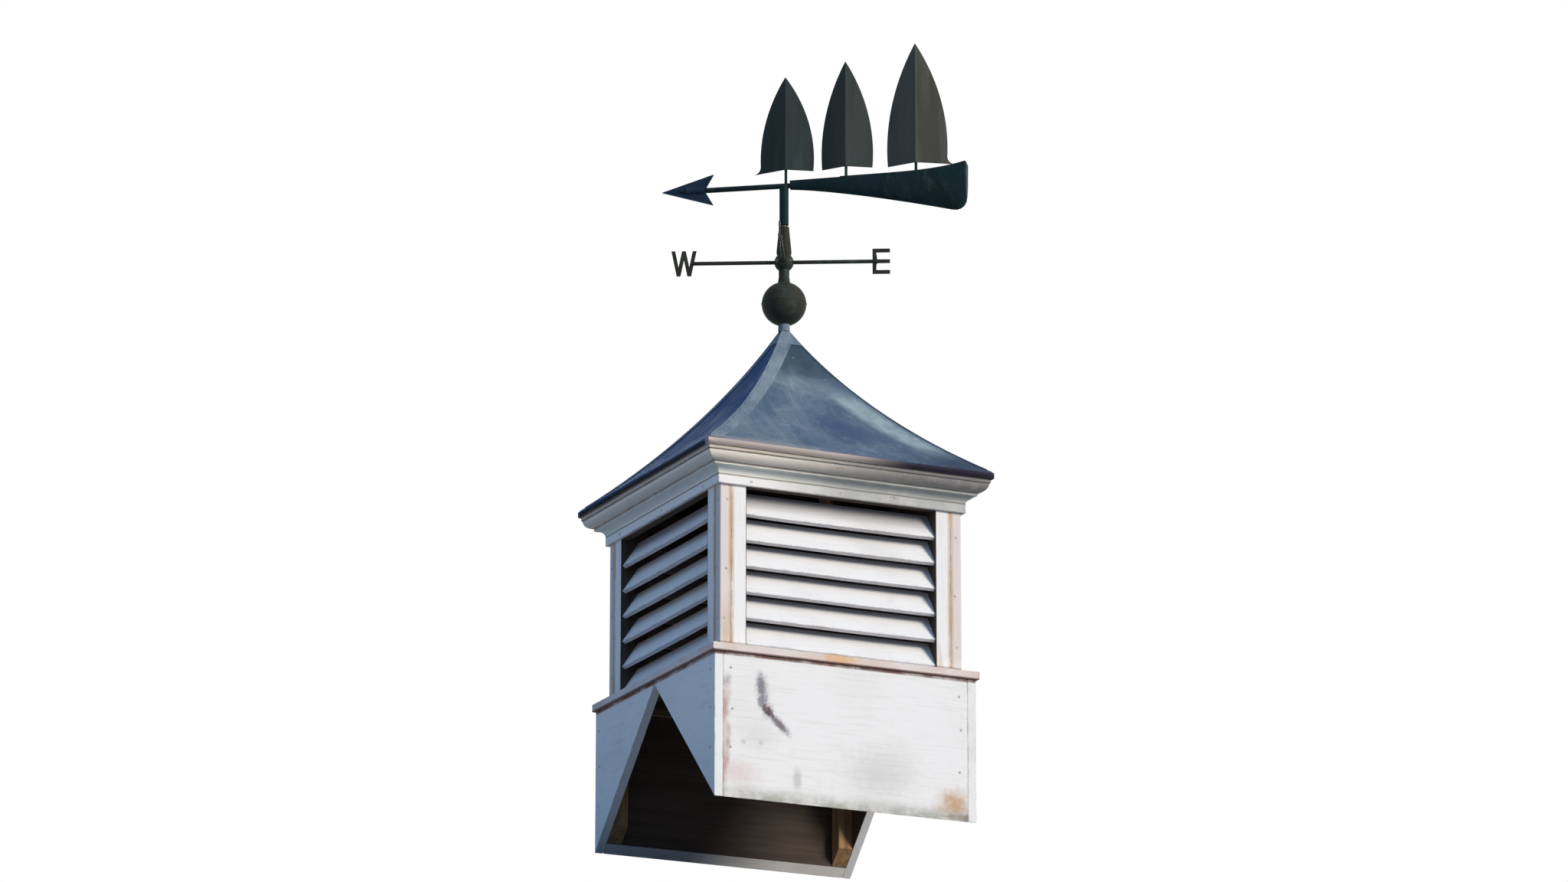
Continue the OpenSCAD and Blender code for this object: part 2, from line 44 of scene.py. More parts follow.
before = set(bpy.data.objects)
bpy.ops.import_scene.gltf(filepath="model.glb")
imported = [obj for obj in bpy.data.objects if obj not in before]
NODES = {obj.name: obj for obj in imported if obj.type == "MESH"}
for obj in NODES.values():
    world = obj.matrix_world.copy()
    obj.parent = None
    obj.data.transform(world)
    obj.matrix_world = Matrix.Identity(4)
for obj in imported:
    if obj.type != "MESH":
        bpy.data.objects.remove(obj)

SIDES = ("front", "right", "back", "left")  # in quarter turns from the front
POSTS = ("front_left", "front_right", "back_left", "back_right")
ARMS = ("north", "east", "south", "west")
SAILS = {"fore_sail": 0.3, "main_sail": 0.5, "aft_sail": 1.0}  # share of the sails' colour over the hull's
SLOPE_SHADE = {"right": 0.2, "back": 0.4, "left": 0.85}  # share of painted shade, a deeper blue, on each slope but the front
GRAIN = {"X": (0.05, 1, 1), "Y": (1, 0.05, 1), "Z": (1, 1, 0.05)}  # how grain along an axis is drawn out

# Levels and half widths of the cupola, from the frame
BASE_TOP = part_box("base_front")[1].z
BASE_OUT = -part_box("base_front")[0].y
BODY_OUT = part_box("corner_strips")[1].y
BLADE_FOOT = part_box("louvres_front")[0].z
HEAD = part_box("cornice_front")[0].z
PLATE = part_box("cornice_front")[1].z
EAVE_OUT = -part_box("roof_front")[0].y
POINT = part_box("roof_cap")[1].z - 0.003  # less the collar that stands over the roof's point

# Sizes of the solids that no box of the frame gives
BOARD = 0.019
OPEN_OUT = BODY_OUT - 0.058  # the edge of the opening between two posts
JOINT_OUT = BODY_OUT - 0.025  # the joint between a corner strip and its post
BLADE_PITCH = 0.053
TOP_BLADE = BLADE_FOOT + 5 * BLADE_PITCH
EAVE_RISE = 0.002
ROOF_SAG = 0.027
HEM_DROP = 0.011
SHEET = 0.0015
ARM_RISE = 0.045
HUB_BULB = 0.02

# Eased edges that no setting gives
FINE_EDGE = 0.0008  # of mouldings and turned metal
CAP_EDGE = 0.0006

# Nails, by height in the boards and the strips, and by place along the cornice's lip
BOARD_NAILS = (0.1, 0.18, 0.26)
STRIP_NAILS = (0.36, 0.48, 0.6)
LIP_NAILS, LIP_OUT, LIP_MIDDLE = (-0.2, 0.0, 0.2), BODY_OUT + 0.007, HEAD + 0.009
NAIL_IN = (0.035, 0.018)  # from a board's end: on the front and the back, and on the sides

# Trim of the roof and the finial
SLOPE_STEPS = 34  # facets up each slope
DENT_FADE = (0.09, 0.05)  # over which dents fade out towards a hip and the eave
LAP_LIFT, LAP_SHEET = 0.0008, 0.0009
BEAD, BEAD_LIFT = 0.0016, 0.0006
WIRE_LIFT = 0.0005  # of the hem's wire over the hem's edge
RIVET_STOP = 0.03  # no rivet stands closer to the middle
BALL_SEAM = 0.0009
SCREW_TURN = 17 / 90  # quarter turns from an arm to its set screw

# The stage
CAMERA_AT = (-5.95, -12.51, -3.10)
AIM_AT = (0.0, 0.0, 0.83)
KEY_FROM, KEY_ANGLE, KEY_COLOUR = (5.05, -7.92, 3.42), 22, (1.0, 0.9, 0.76)
FILL_FROM, FILL_ANGLE, FILL_COLOUR = (2.5, 5.5, 1.5), 30, (0.94, 0.97, 1.0)
SKY_COLOUR = (0.47, 0.90, 1.62)
FLOOR_REACH = 40.0
FLOOR_SHADE = (0.20, 0.22, 0.25)  # what the floor throws back on the object
FLOOR_GLOW, GLOW_COLOUR = 0.42, (1.0, 0.97, 0.92)


def shade(red, green, blue):
    """A colour as it is picked from a screen, 0 to 255, turned into the shader's own scale."""
    return tuple(
        c / 12.92 if c <= 0.04045 else ((c + 0.055) / 1.055) ** 2.4
        for c in (red / 255, green / 255, blue / 255)
    )


def colour_property(name, description, default):
    """A setting that is a colour."""
    return FloatVectorProperty(
        name=name, description=description, subtype="COLOR", size=3, min=0.0, max=1.0, default=default
    )


def length_property(name, description, default, low, high):
    """A setting that is a length in metres."""
    return FloatProperty(
        name=name, description=description, unit="LENGTH", precision=4, default=default, min=low, max=high
    )


def strength_property(name, description, default, high):
    """A setting that is the strength of a light."""
    return FloatProperty(name=name, description=description, default=default, min=0.0, max=high)


class TimberSettings(bpy.types.PropertyGroup):
    """Sizes and colours of the painted and the bare wood."""

    paint: colour_property("Paint", "Sound white paint", shade(246, 246, 245))
    strip: colour_property("Strip Paint", "Pinkish paint of the corner strips", shade(232, 222, 216))
    dingy: colour_property("Dingy Paint", "Paint under a film of dirt", shade(214, 211, 206))
    stain: colour_property("Stain", "Tan stain at joints and corners", shade(205, 170, 135))
    # Rust also serves as the colour of the painted shadow under the sill
    rust: colour_property("Rust", "Brown along lower edges", shade(110, 70, 60))
    grey_wood: colour_property("Grey Wood", "Weathered wood under lost paint", shade(128, 116, 114))
    aged: colour_property("Aged Paint", "Paint in the hollow of the cornice", shade(234, 236, 228))
    dirt: colour_property("Dirt", "Dirt in the hollows of the cornice", shade(96, 82, 72))
    bare: colour_property("Bare Wood", "Unpainted softwood inside", shade(176, 143, 104))
    # Inner Faces also serves as painted shade inside the cupola and in the reveals of the openings
    inner: colour_property("Inner Faces", "Wood inside, never painted and dark with age", shade(78, 68, 62))
    ease: length_property("Eased Edge", "Width of the eased edges of boards", 0.0014, 0.0003, 0.003)
    nail: length_property("Nail Head", "Radius of the nail heads", 0.003, 0.002, 0.006)
    sag: length_property("Blade Sag", "Sag of each louvre blade at mid length", 0.0012, 0.0, 0.003)


class RoofSettings(bpy.types.PropertyGroup):
    """Sizes and colours of the metal roof."""

    slate: colour_property("Slate Blue", "Usual colour of the roof's patina", shade(110, 126, 139))
    deep: colour_property("Deep Blue", "Damp and shaded patches", shade(82, 102, 124))
    pale: colour_property("Pale Run", "Clouds and runs washed down the slopes", shade(146, 160, 168))
    # Underside also serves as painted shade on the roof's downward faces
    under: colour_property("Underside", "Dull metal under the sheets", shade(50, 48, 48))
    bright: colour_property("Solder", "Rivets and bare specks", shade(176, 186, 192))
    lap: length_property("Lap", "Width of the lap along each hip", 0.021, 0.01, 0.04)
    dent: length_property("Dents", "Depth of the dents in the sheets", 0.0016, 0.0, 0.003)
    hem_wire: length_property("Hem Wire", "Radius of the wire rolled into the hem", 0.0021, 0.001, 0.004)
    rivets: IntProperty(name="Rivets", description="Rivets on each hip", default=7, min=3, max=14)


class VaneSettings(bpy.types.PropertyGroup):
    """Sizes and colours of the finial, the compass and the vane."""

    dark: colour_property("Dark Patina", "Ball, hub and compass arms", shade(58, 61, 54))
    hull: colour_property("Hull Patina", "Ship's hull and bar", shade(28, 49, 53))
    arrow: colour_property("Arrow Patina", "Arrow's head", shade(36, 56, 78))
    sail: colour_property("Sail Patina", "Sails, most of all the last one", shade(92, 93, 86))
    rub: colour_property("Rubbed Metal", "Brown where the patina is rubbed", shade(98, 82, 58))
    bloom: colour_property("Bloom", "Grey-green bloom on the patina", shade(84, 102, 98))
    steel: colour_property("Steel", "Darkened steel of the spindle", shade(58, 58, 58))
    ease: length_property("Eased Edge", "Width of the eased edges of metal", 0.0006, 0.0001, 0.0015)
    rail: length_property("Rail", "Radius of the rails on the ship's deck", 0.0022, 0.001, 0.004)


class StageSettings(bpy.types.PropertyGroup):
    """The camera, the lamps and the floor."""

    lens: FloatProperty(
        name="Lens", description="Focal length of the camera", unit="CAMERA",
        default=162.0, min=20.0, max=400.0,
    )
    key: strength_property("Key", "Strength of the low lamp at the right", 2.9, 10.0)
    fill: strength_property("Fill", "Strength of the lamp behind", 1.2, 10.0)
    sky: strength_property("Sky", "Strength of the light from all round", 0.29, 1.0)
    floor: colour_property("Floor", "Colour of the floor", (0.86, 0.78, 0.66))


# Finishes


class Shading:
    """Shader nodes that are written as steps, each of which gives the socket that it ends in."""

    def __init__(self, owner):
        owner.use_nodes = True
        self.owner = owner
        self.tree = owner.node_tree
        self.tree.nodes.clear()

    def add(self, kind, **settings):
        """A new node of a kind, with its settings."""
        node = self.tree.nodes.new(kind)
        for key, value in settings.items():
            setattr(node, key, value)
        return node

    def feed(self, socket, value):
        """Links a socket, or sets a number or a colour on it."""
        if isinstance(value, bpy.types.NodeSocket):
            self.tree.links.new(value, socket)
        elif socket.type == "RGBA":
            socket.default_value = (*value, 1.0)
        else:
            socket.default_value = value

    def calc(self, operation, *values):
        """The outcome of one Math node."""
        node = self.add("ShaderNodeMath", operation=operation)
        for socket, value in zip(node.inputs, values):
            self.feed(socket, value)
        return node.outputs[0]

    def most(self, *masks):
        """The strongest of several masks."""
        found = masks[0]
        for mask in masks[1:]:
            found = self.calc("MAXIMUM", found, mask)
        return found

    def both(self, first, second):
        """Where two masks are both strong, or one mask weakened by a number."""
        return self.calc("MULTIPLY", first, second)

    def mix(self, mask, below, above):
        """A colour that goes from below to above as the mask goes from 0 to 1."""
        node = self.add("ShaderNodeMix", data_type="RGBA")
        for index, value in ((0, mask), (6, below), (7, above)):
            self.feed(node.inputs[index], value)
        return node.outputs[2]

    def blend(self, mask, below, above):
        """A mix of two shaders."""
        node = self.add("ShaderNodeMixShader")
        for socket, value in zip(node.inputs, (mask, below, above)):
            self.feed(socket, value)
        return node.outputs[0]


class Finish(Shading):
    """A material, written as masks and colours that read the object's own coordinates."""

    def __init__(self, name, metallic=0.0, specular=0.15, tint=(1, 1, 1)):
        super().__init__(bpy.data.materials.new(name))
        self.clouds = {}
        self.shader = self.add("ShaderNodeBsdfPrincipled")
        self.shader.inputs["Metallic"].default_value = metallic
        self.shader.inputs["Specular IOR Level"].default_value = specular
        self.shader.inputs["Specular Tint"].default_value = (*tint, 1)
        output = self.add("ShaderNodeOutputMaterial")
        self.feed(output.inputs["Surface"], self.shader.outputs["BSDF"])
        self.place = self.add("ShaderNodeTexCoord").outputs["Object"]
        split = self.add("ShaderNodeSeparateXYZ")
        self.feed(split.inputs[0], self.place)
        self.x, self.y, self.z = split.outputs

    def outmost(self):
        """The larger of the distances from the middle along X and Y."""
        return self.calc("MAXIMUM", self.calc("ABSOLUTE", self.x), self.calc("ABSOLUTE", self.y))

    def inmost(self):
        """The smaller of the distances from the middle along X and Y."""
        return self.calc("MINIMUM", self.calc("ABSOLUTE", self.x), self.calc("ABSOLUTE", self.y))

    def noise(self, scale, detail=4.0, rough=0.55, stretch=(1, 1, 1), shift=(0, 0, 0)):
        """Clouds of a size, drawn out along the axes with a small stretch."""
        kind = (scale, detail, rough, stretch, shift)
        if kind not in self.clouds:
            placed = self.add("ShaderNodeMapping")
            self.feed(placed.inputs["Vector"], self.place)
            placed.inputs["Scale"].default_value = stretch
            placed.inputs["Location"].default_value = shift
            cloud = self.add("ShaderNodeTexNoise")
            self.feed(cloud.inputs["Vector"], placed.outputs[0])
            self.feed(cloud.inputs["Scale"], float(scale))
            self.feed(cloud.inputs["Detail"], float(detail))
            self.feed(cloud.inputs["Roughness"], rough)
            self.clouds[kind] = cloud.outputs["Fac"]
        return self.clouds[kind]

    def step(self, value, low, high, bottom=0.0, top=1.0, kind="SMOOTHSTEP"):
        """A smooth rise from bottom to top as value goes from low to high."""
        node = self.add("ShaderNodeMapRange", interpolation_type=kind)
        for socket, number in zip(node.inputs[:5], (value, low, high, bottom, top)):
            self.feed(socket, number)
        return node.outputs[0]

    def band(self, value, middle, half, soft):
        """A mask of 1 within half of middle, which fades over soft."""
        away = self.calc("ABSOLUTE", self.calc("SUBTRACT", value, middle))
        return self.step(away, half, half + soft, 1.0, 0.0)

    def bands(self, value, stops):
        """A colour for each level of value, from pairs of a level and its colour."""
        low, high = stops[0][0], stops[-1][0]
        node = self.add("ShaderNodeValToRGB")
        self.feed(node.inputs[0], self.step(value, low, high, kind="LINEAR"))
        elements = node.color_ramp.elements
        for index, (level, colour) in enumerate(stops):
            share = (level - low) / (high - low)
            element = elements[index] if index < 2 else elements.new(share)
            element.position = share
            element.color = (*colour, 1)
        return node.outputs[0]

    def spot(self, x, z, wide, high, turn=0.0, ragged=0.3, soft=0.4, grit=70):
        """A ragged patch on a face to the front. A turn in degrees lowers its right end."""
        placed = self.add("ShaderNodeMapping", vector_type="TEXTURE")
        self.feed(placed.inputs["Vector"], self.place)
        placed.inputs["Location"].default_value = (x, 0, z)
        placed.inputs["Rotation"].default_value = (0, math.radians(turn), 0)
        placed.inputs["Scale"].default_value = (wide, 1000.0, high)
        length = self.add("ShaderNodeVectorMath", operation="LENGTH")
        self.feed(length.inputs[0], placed.outputs[0])
        inner = self.calc("SUBTRACT", length.outputs["Value"], ragged)
        rim = self.calc("MULTIPLY_ADD", self.noise(grit, 5, 0.65), ragged * 2, inner)
        return self.step(rim, 1.0 - soft, 1.0, 1.0, 0.0)

    def facing(self, direction):
        """How far the surface faces in a direction, from -1 to 1."""
        dot = self.add("ShaderNodeVectorMath", operation="DOT_PRODUCT")
        self.feed(dot.inputs[0], self.add("ShaderNodeNewGeometry").outputs["Normal"])
        self.feed(dot.inputs[1], direction)
        return dot.outputs["Value"]

    def edges(self, width):
        """A mask along edges and corners, as wide as given."""
        rounded = self.add("ShaderNodeBevel", samples=4)
        self.feed(rounded.inputs["Radius"], width)
        return self.step(self.facing(rounded.outputs[0]), 0.97, 0.8)

    def done(self, colour, rough, height, depth=0.001, strength=0.6):
        """Sets the colour, the roughness and the relief, and returns the material."""
        self.feed(self.shader.inputs["Base Color"], colour)
        self.feed(self.shader.inputs["Roughness"], rough)
        bump = self.add("ShaderNodeBump")
        self.feed(bump.inputs["Strength"], strength)
        self.feed(bump.inputs["Distance"], depth)
        self.feed(bump.inputs["Height"], height)
        self.feed(self.shader.inputs["Normal"], bump.outputs[0])
        return self.owner


def painted_wood(name, grain, timber, seed=0.0, peel=0.5, dirt=1.0, paint=None, marks=None, inside=None):
    """Old white paint on a board, with brush marks, a film of dirt, worn edges and flaked places.

    The inside is a mask of the inner faces, which are painted dark: unpainted wood, and painted shade inside
    the cupola and in the openings' reveals."""
    f = Finish(name)
    along = GRAIN[grain]
    shift = (seed, seed * 1.7, seed * 0.6)
    brush = f.noise(230, 4, 0.6, along, shift)
    wood = f.noise(90, 6, 0.65, along, shift)
    grime = f.noise(30, 6, 0.7, shift=shift)
    flake = f.noise(26, 8, 0.68, tuple((2 * a + 1) / 3 for a in along), shift)
    cloud = f.noise(6.5, 4, 0.6, shift=shift)
    colour = f.mix(f.step(cloud, 0.46, 0.74, 0.0, 0.42 * dirt), paint or timber.paint, timber.dingy)
    colour = f.mix(f.step(grime, 0.54, 0.72, 0.0, 0.34 * dirt), colour, timber.dingy)
    colour = f.mix(f.step(brush, 0.5, 0.72, 0.0, 0.3), colour, timber.dingy)
    if marks:
        colour = marks(f, colour, timber)
    lost_at = 0.755 - 0.1 * peel
    worn = f.both(f.edges(0.0045), f.step(grime, 0.46, 0.58, 0.0, 0.75))
    bare = f.most(f.step(flake, lost_at, lost_at + 0.01), worn)
    grey = f.mix(f.step(wood, 0.38, 0.62), timber.grey_wood, timber.dirt)
    colour = f.mix(f.both(f.band(flake, lost_at, 0.004, 0.02), 0.35), colour, timber.stain)
    colour = f.mix(bare, colour, grey)
    # Inner faces painted dark: unpainted wood, and painted shade inside the cupola and in the reveals of the
    # openings
    if inside:
        unpainted_and_shaded = f.mix(f.step(wood, 0.3, 0.7), tuple(c * 0.6 for c in timber.inner), timber.inner)
        colour = f.mix(inside(f), colour, unpainted_and_shaded)
    height = f.calc("MULTIPLY_ADD", wood, 0.3, f.both(brush, 0.35))
    height = f.calc("MULTIPLY_ADD", bare, -0.6, height)
    return f.done(colour, f.step(bare, 0.0, 1.0, 0.72, 0.9), height, 0.0012, 0.55)


def inner_face(f, out):
    """The inner faces of boards whose outer faces lie at out."""
    return f.step(f.outmost(), out - BOARD + 0.0015, out - BOARD + 0.0005)


def inside_base(f):
    """The inner faces of the base boards."""
    return inner_face(f, BASE_OUT)


def inside_sill(f):
    """What lies under the louvred body."""
    return f.step(f.outmost(), BODY_OUT - 0.01, BODY_OUT - 0.014)


def inside_post(f):
    """The post's two faces towards the openings and the inner corner."""
    return f.step(f.inmost(), OPEN_OUT + 0.0016, OPEN_OUT + 0.0008)


def inside_head(f):
    """The rail's inner face and its underside."""
    return f.most(inner_face(f, BODY_OUT), f.step(f.z, HEAD + 0.002, HEAD + 0.001))


def inside_blade(turn):
    """The faces of a side's blades that look inwards."""
    outward = spin(turn) @ Vector((0, -1, 0))
    return lambda f: f.step(f.facing(outward), -0.3, -0.45)


def front_marks(f, colour, timber):
    """Lost, stained and thin paint on the front board."""
    thin = f.most(
        f.both(f.spot(-0.108, 0.05, 0.014, 0.034, ragged=0.4, soft=0.8), 0.35),
        f.both(f.spot(0.075, 0.08, 0.11, 0.085, ragged=0.4, soft=0.95), 0.2),
        f.both(f.spot(-0.19, 0.13, 0.06, 0.05, ragged=0.4, soft=0.9), 0.12),
        f.both(f.spot(-0.225, 0.115, 0.008, 0.008, ragged=0.2, soft=0.8), 0.35),
        f.both(f.spot(-0.187, 0.117, 0.008, 0.008, ragged=0.2, soft=0.8), 0.35),
    )
    colour = f.mix(thin, colour, timber.grey_wood)

    # Brown by the left edge, with a pink blush at its foot
    wander = f.calc("MULTIPLY_ADD", f.noise(9, 3, 0.6), 0.05, f.x)
    patchy = f.both(f.band(f.z, 0.125, 0.085, 0.03), f.step(f.noise(14, 5, 0.7), 0.36, 0.6, 0.35, 0.85))
    colour = f.mix(f.both(f.band(wander, -0.245, 0.006, 0.01), patchy), colour, shade(190, 150, 134))
    blush = f.both(f.spot(-0.238, 0.052, 0.07, 0.038, turn=12, ragged=0.6, soft=0.9), 0.45)
    colour = f.mix(blush, colour, shade(222, 192, 184))

    # Tan and dark wood at the lower right corner, and grime along the foot
    tan = f.spot(0.24, 0.034, 0.058, 0.046, ragged=0.5, soft=0.95)
    colour = f.mix(f.both(tan, 0.95), colour, timber.stain)
    corner = f.most(f.spot(0.275, 0.0, 0.022, 0.026), f.both(f.spot(0.245, 0.008, 0.03, 0.007), 0.6))
    colour = f.mix(f.both(corner, 0.7), colour, shade(84, 66, 84))
    foot = f.both(f.step(f.z, 0.034, 0.004), f.step(f.noise(20, 5, 0.7), 0.36, 0.6, 0.25, 0.7))
    colour = f.mix(foot, colour, shade(150, 150, 134))

    # One long smear of lost paint at the upper left: its halo, its grey part and its bare core
    halo = f.most(
        f.spot(-0.185, 0.226, 0.021, 0.046, turn=-6, ragged=0.6, soft=0.9, grit=150),
        f.spot(-0.172, 0.182, 0.018, 0.026, turn=20, ragged=0.6, soft=0.9, grit=150),
        f.spot(-0.146, 0.158, 0.044, 0.014, turn=40, ragged=0.6, soft=0.9, grit=150),
        f.spot(-0.262, 0.236, 0.014, 0.02, turn=20, ragged=0.6, soft=0.9, grit=150),
    )
    colour = f.mix(f.both(halo, 0.5), colour, timber.grey_wood)
    grey = f.most(
        f.spot(-0.187, 0.232, 0.012, 0.034, turn=-6, ragged=0.7, soft=0.7, grit=170),
        f.spot(-0.184, 0.203, 0.015, 0.022, turn=10, ragged=0.7, soft=0.7, grit=170),
        f.spot(-0.150, 0.160, 0.042, 0.010, turn=42, ragged=0.6, soft=0.7, grit=170),
    )
    colour = f.mix(f.both(grey, 0.75), colour, shade(116, 112, 128))
    core = f.most(
        f.spot(-0.173, 0.183, 0.023, 0.0115, turn=42, ragged=0.6, soft=0.6, grit=170),
        f.both(f.spot(-0.146, 0.157, 0.026, 0.007, turn=42, ragged=0.6, soft=0.8, grit=170), 0.5),
    )
    wood = f.mix(f.step(f.noise(120, 4, 0.6), 0.4, 0.6), shade(76, 58, 70), shade(128, 108, 110))
    return sill_shadow_line(f, f.mix(f.both(core, 0.95), colour, wood), timber)


def sill_shadow_line(f, colour, timber):
    """A painted shadow on a board just below the sill, brown like a stain."""
    uneven = f.step(f.noise(18, 5, 0.7), 0.34, 0.6, 0.45, 0.95)
    # Painted shadow under the sill's overhang, with some brown stain
    line = f.both(f.step(f.z, BASE_TOP - 0.0085, BASE_TOP - 0.0045), uneven)
    return f.mix(line, colour, timber.rust)


def sill_marks(f, colour, timber):
    """A tan film on the sill's edge, with one orange patch at the front, and a painted shadow along its lower
    rim.
    """
    uneven = f.step(f.noise(12, 5, 0.6), 0.34, 0.66, 0.45, 0.95)
    edge = f.both(f.step(f.z, BASE_TOP + 0.0195, BASE_TOP + 0.0155), uneven)
    colour = f.mix(edge, colour, shade(222, 202, 190))
    patch = f.spot(-0.016, BASE_TOP + 0.009, 0.055, 0.02, ragged=0.5, soft=0.8)
    patch = f.both(patch, f.step(f.y, 0.0, -0.01, 0.0, 0.9))
    colour = f.mix(patch, colour, shade(230, 188, 138))
    # Painted shadow along the sill's lower rim, with some brown stain
    return f.mix(f.step(f.z, BASE_TOP + 0.0036, BASE_TOP + 0.0014, 0.0, 0.8), colour, timber.rust)


def joint_marks(f, colour, timber):
    """A tan line along the joint between a strip and its post, and bare paint low down."""
    uneven = f.step(f.noise(10, 5, 0.7), 0.3, 0.62, 0.2, 0.85)
    colour = f.mix(f.both(f.band(f.inmost(), JOINT_OUT, 0.0025, 0.006), uneven), colour, timber.stain)
    low = f.both(f.step(f.z, 0.43, 0.33), f.step(f.noise(42, 6, 0.7, GRAIN["Z"]), 0.5, 0.58))
    colour = f.mix(f.both(low, 0.5), colour, timber.stain)
    return f.mix(f.step(f.z, BLADE_FOOT + 0.006, BLADE_FOOT + 0.001, 0.0, 0.6), colour, timber.rust)


def blade_marks(f, colour, timber):
    """A ragged brown line along each blade's lower edge, painted shade with some dirt on each blade's upper
    part under the blade above, and a painted shadow of the cornice on the top blade.
    """
    rise = f.calc("MODULO", f.calc("SUBTRACT", f.z, BLADE_FOOT), BLADE_PITCH)
    ragged = f.calc("MULTIPLY_ADD", f.noise(60, 5, 0.7), -0.004, rise)
    # Painted shade with some dirt on each blade's upper part, where the blade above shades it
    colour = f.mix(f.step(ragged, 0.028, 0.046, 0.0, 0.22), colour, shade(126, 120, 126))
    # Painted shadow of the cornice on the upper part of the top blade
    top = f.step(f.z, TOP_BLADE + 0.2 * BLADE_PITCH, TOP_BLADE + 0.85 * BLADE_PITCH, 0.0, 0.65)
    colour = f.mix(top, colour, shade(84, 78, 84))
    return f.mix(f.step(ragged, 0.0034, 0.0006, 0.0, 0.35), colour, shade(160, 130, 128))


def cornice_marks(f, colour, timber):
    """The moulding's colours, level by level: pale on the lip, with painted shade and some dirt in the lines
    at its steps, and painted shade darkening its top under the hem.
    """
    grime = f.noise(26, 5, 0.7)
    # Dark lines at the moulding's steps: painted shade with some dirt
    line = shade(140, 130, 120)
    tan = shade(238, 228, 214)
    # From 60 mm up the levels darken: painted shade under the hem
    levels = (  # in millimetres above the moulding's foot
        (0, timber.dingy), (2, timber.paint), (16.6, timber.paint), (18.2, line), (19.6, line),
        (21, timber.aged), (36, timber.aged), (37.2, line), (39, line), (40.4, tan),
        (55.5, tan), (57.2, line), (58.6, line), (60, shade(204, 192, 176)), (66, shade(198, 184, 168)),
        (76, shade(160, 148, 136)),
    )
    level = f.calc("MULTIPLY_ADD", f.noise(16, 5, 0.7), 0.003, f.calc("SUBTRACT", f.z, HEAD + 0.0015))
    seen = f.bands(level, [(mm / 1000, colour_at) for mm, colour_at in levels])
    return f.mix(f.step(grime, 0.3, 0.7, 0.97, 0.8), colour, seen)


def front_cornice_marks(f, colour, timber):
    """The front's moulding is pale at its left end and greyer to the right, most of all high up."""
    colour = cornice_marks(f, colour, timber)
    grime = f.step(f.noise(26, 5, 0.7), 0.3, 0.6, 0.75, 1.0)
    along = f.both(f.step(f.x, -0.22, 0.04, 0.0, 0.6), grime)
    colour = f.mix(along, colour, shade(124, 126, 124))
    high = f.both(f.step(f.z, HEAD + 0.038, HEAD + 0.044), f.step(f.x, -0.08, 0.16, 0.0, 0.6))
    return f.mix(f.both(high, grime), colour, shade(86, 86, 92))


def bare_wood(name, grain, timber):
    """Sawn softwood that has darkened indoors."""
    f = Finish(name)
    along = GRAIN[grain]
    rings = f.noise(75, 5, 0.6, along)
    fibre = f.noise(420, 3, 0.6, along)
    age = f.noise(8, 4, 0.6)
    colour = f.mix(f.step(rings, 0.36, 0.66, 0.0, 0.8), timber.bare, shade(128, 92, 60))
    colour = f.mix(f.step(age, 0.4, 0.72, 0.0, 0.55), colour, timber.dirt)
    colour = f.mix(f.both(f.edges(0.004), 0.35), colour, shade(206, 178, 140))
    height = f.calc("MULTIPLY_ADD", rings, 0.7, fibre)
    return f.done(colour, f.step(fibre, 0.3, 0.7, 0.7, 0.88), height, 0.0012, 0.5)


def roof_metal(name, roof, across="X", seed=0.0, marks=None):
    """Blue-grey metal with clouds and soft runs down the slope, and a painted highlight as a pale line up one
    hip.
    """
    f = Finish(name, metallic=0.05, specular=0.04, tint=shade(60, 90, 140))
    down = {"X": (1, 0.12, 0.12), "Y": (0.12, 1, 0.12)}[across]
    shift = (seed, seed, seed * 0.5)
    run = f.noise(16, 5, 0.6, down, shift)
    thread = f.noise(120, 4, 0.6, down, shift)
    cloud = f.noise(7, 6, 0.62, shift=shift)
    patch = f.noise(19, 6, 0.66, shift=shift)
    colour = f.mix(f.step(cloud, 0.4, 0.6), roof.deep, roof.slate)
    colour = f.mix(f.step(patch, 0.5, 0.7, 0.0, 0.55), colour, roof.pale)
    colour = f.mix(f.step(run, 0.5, 0.72, 0.0, 0.5), colour, roof.pale)
    colour = f.mix(f.step(patch, 0.45, 0.3, 0.0, 0.5), colour, roof.deep)
    colour = f.mix(f.step(thread, 0.56, 0.76, 0.0, 0.25), colour, roof.pale)
    # Painted highlight: a pale line up one hip, broken by clouds
    hip = f.band(f.calc("SUBTRACT", f.x, f.y), 0.0, 0.018, 0.02)
    colour = f.mix(f.both(hip, f.step(patch, 0.3, 0.6, 0.2, 0.55)), colour, roof.pale)
    if marks:
        colour = marks(f, colour, roof)
    colour = f.mix(f.step(f.noise(150, 2, 0.5), 0.72, 0.76, 0.0, 0.6), colour, roof.bright)
    colour = f.mix(f.both(f.edges(0.003), 0.3), colour, roof.pale)
    # Faces that look down painted dark: dull metal under the sheets, and painted shade under the roof
    colour = f.mix(f.step(f.facing((0, 0, 1)), -0.2, -0.4), colour, roof.under)
    colour = hem_stain(f, colour)
    height = f.calc("MULTIPLY_ADD", run, 0.5, f.both(thread, 0.25))
    return f.done(colour, f.step(patch, 0.3, 0.7, 0.62, 0.88), height, 0.0015, 0.3)


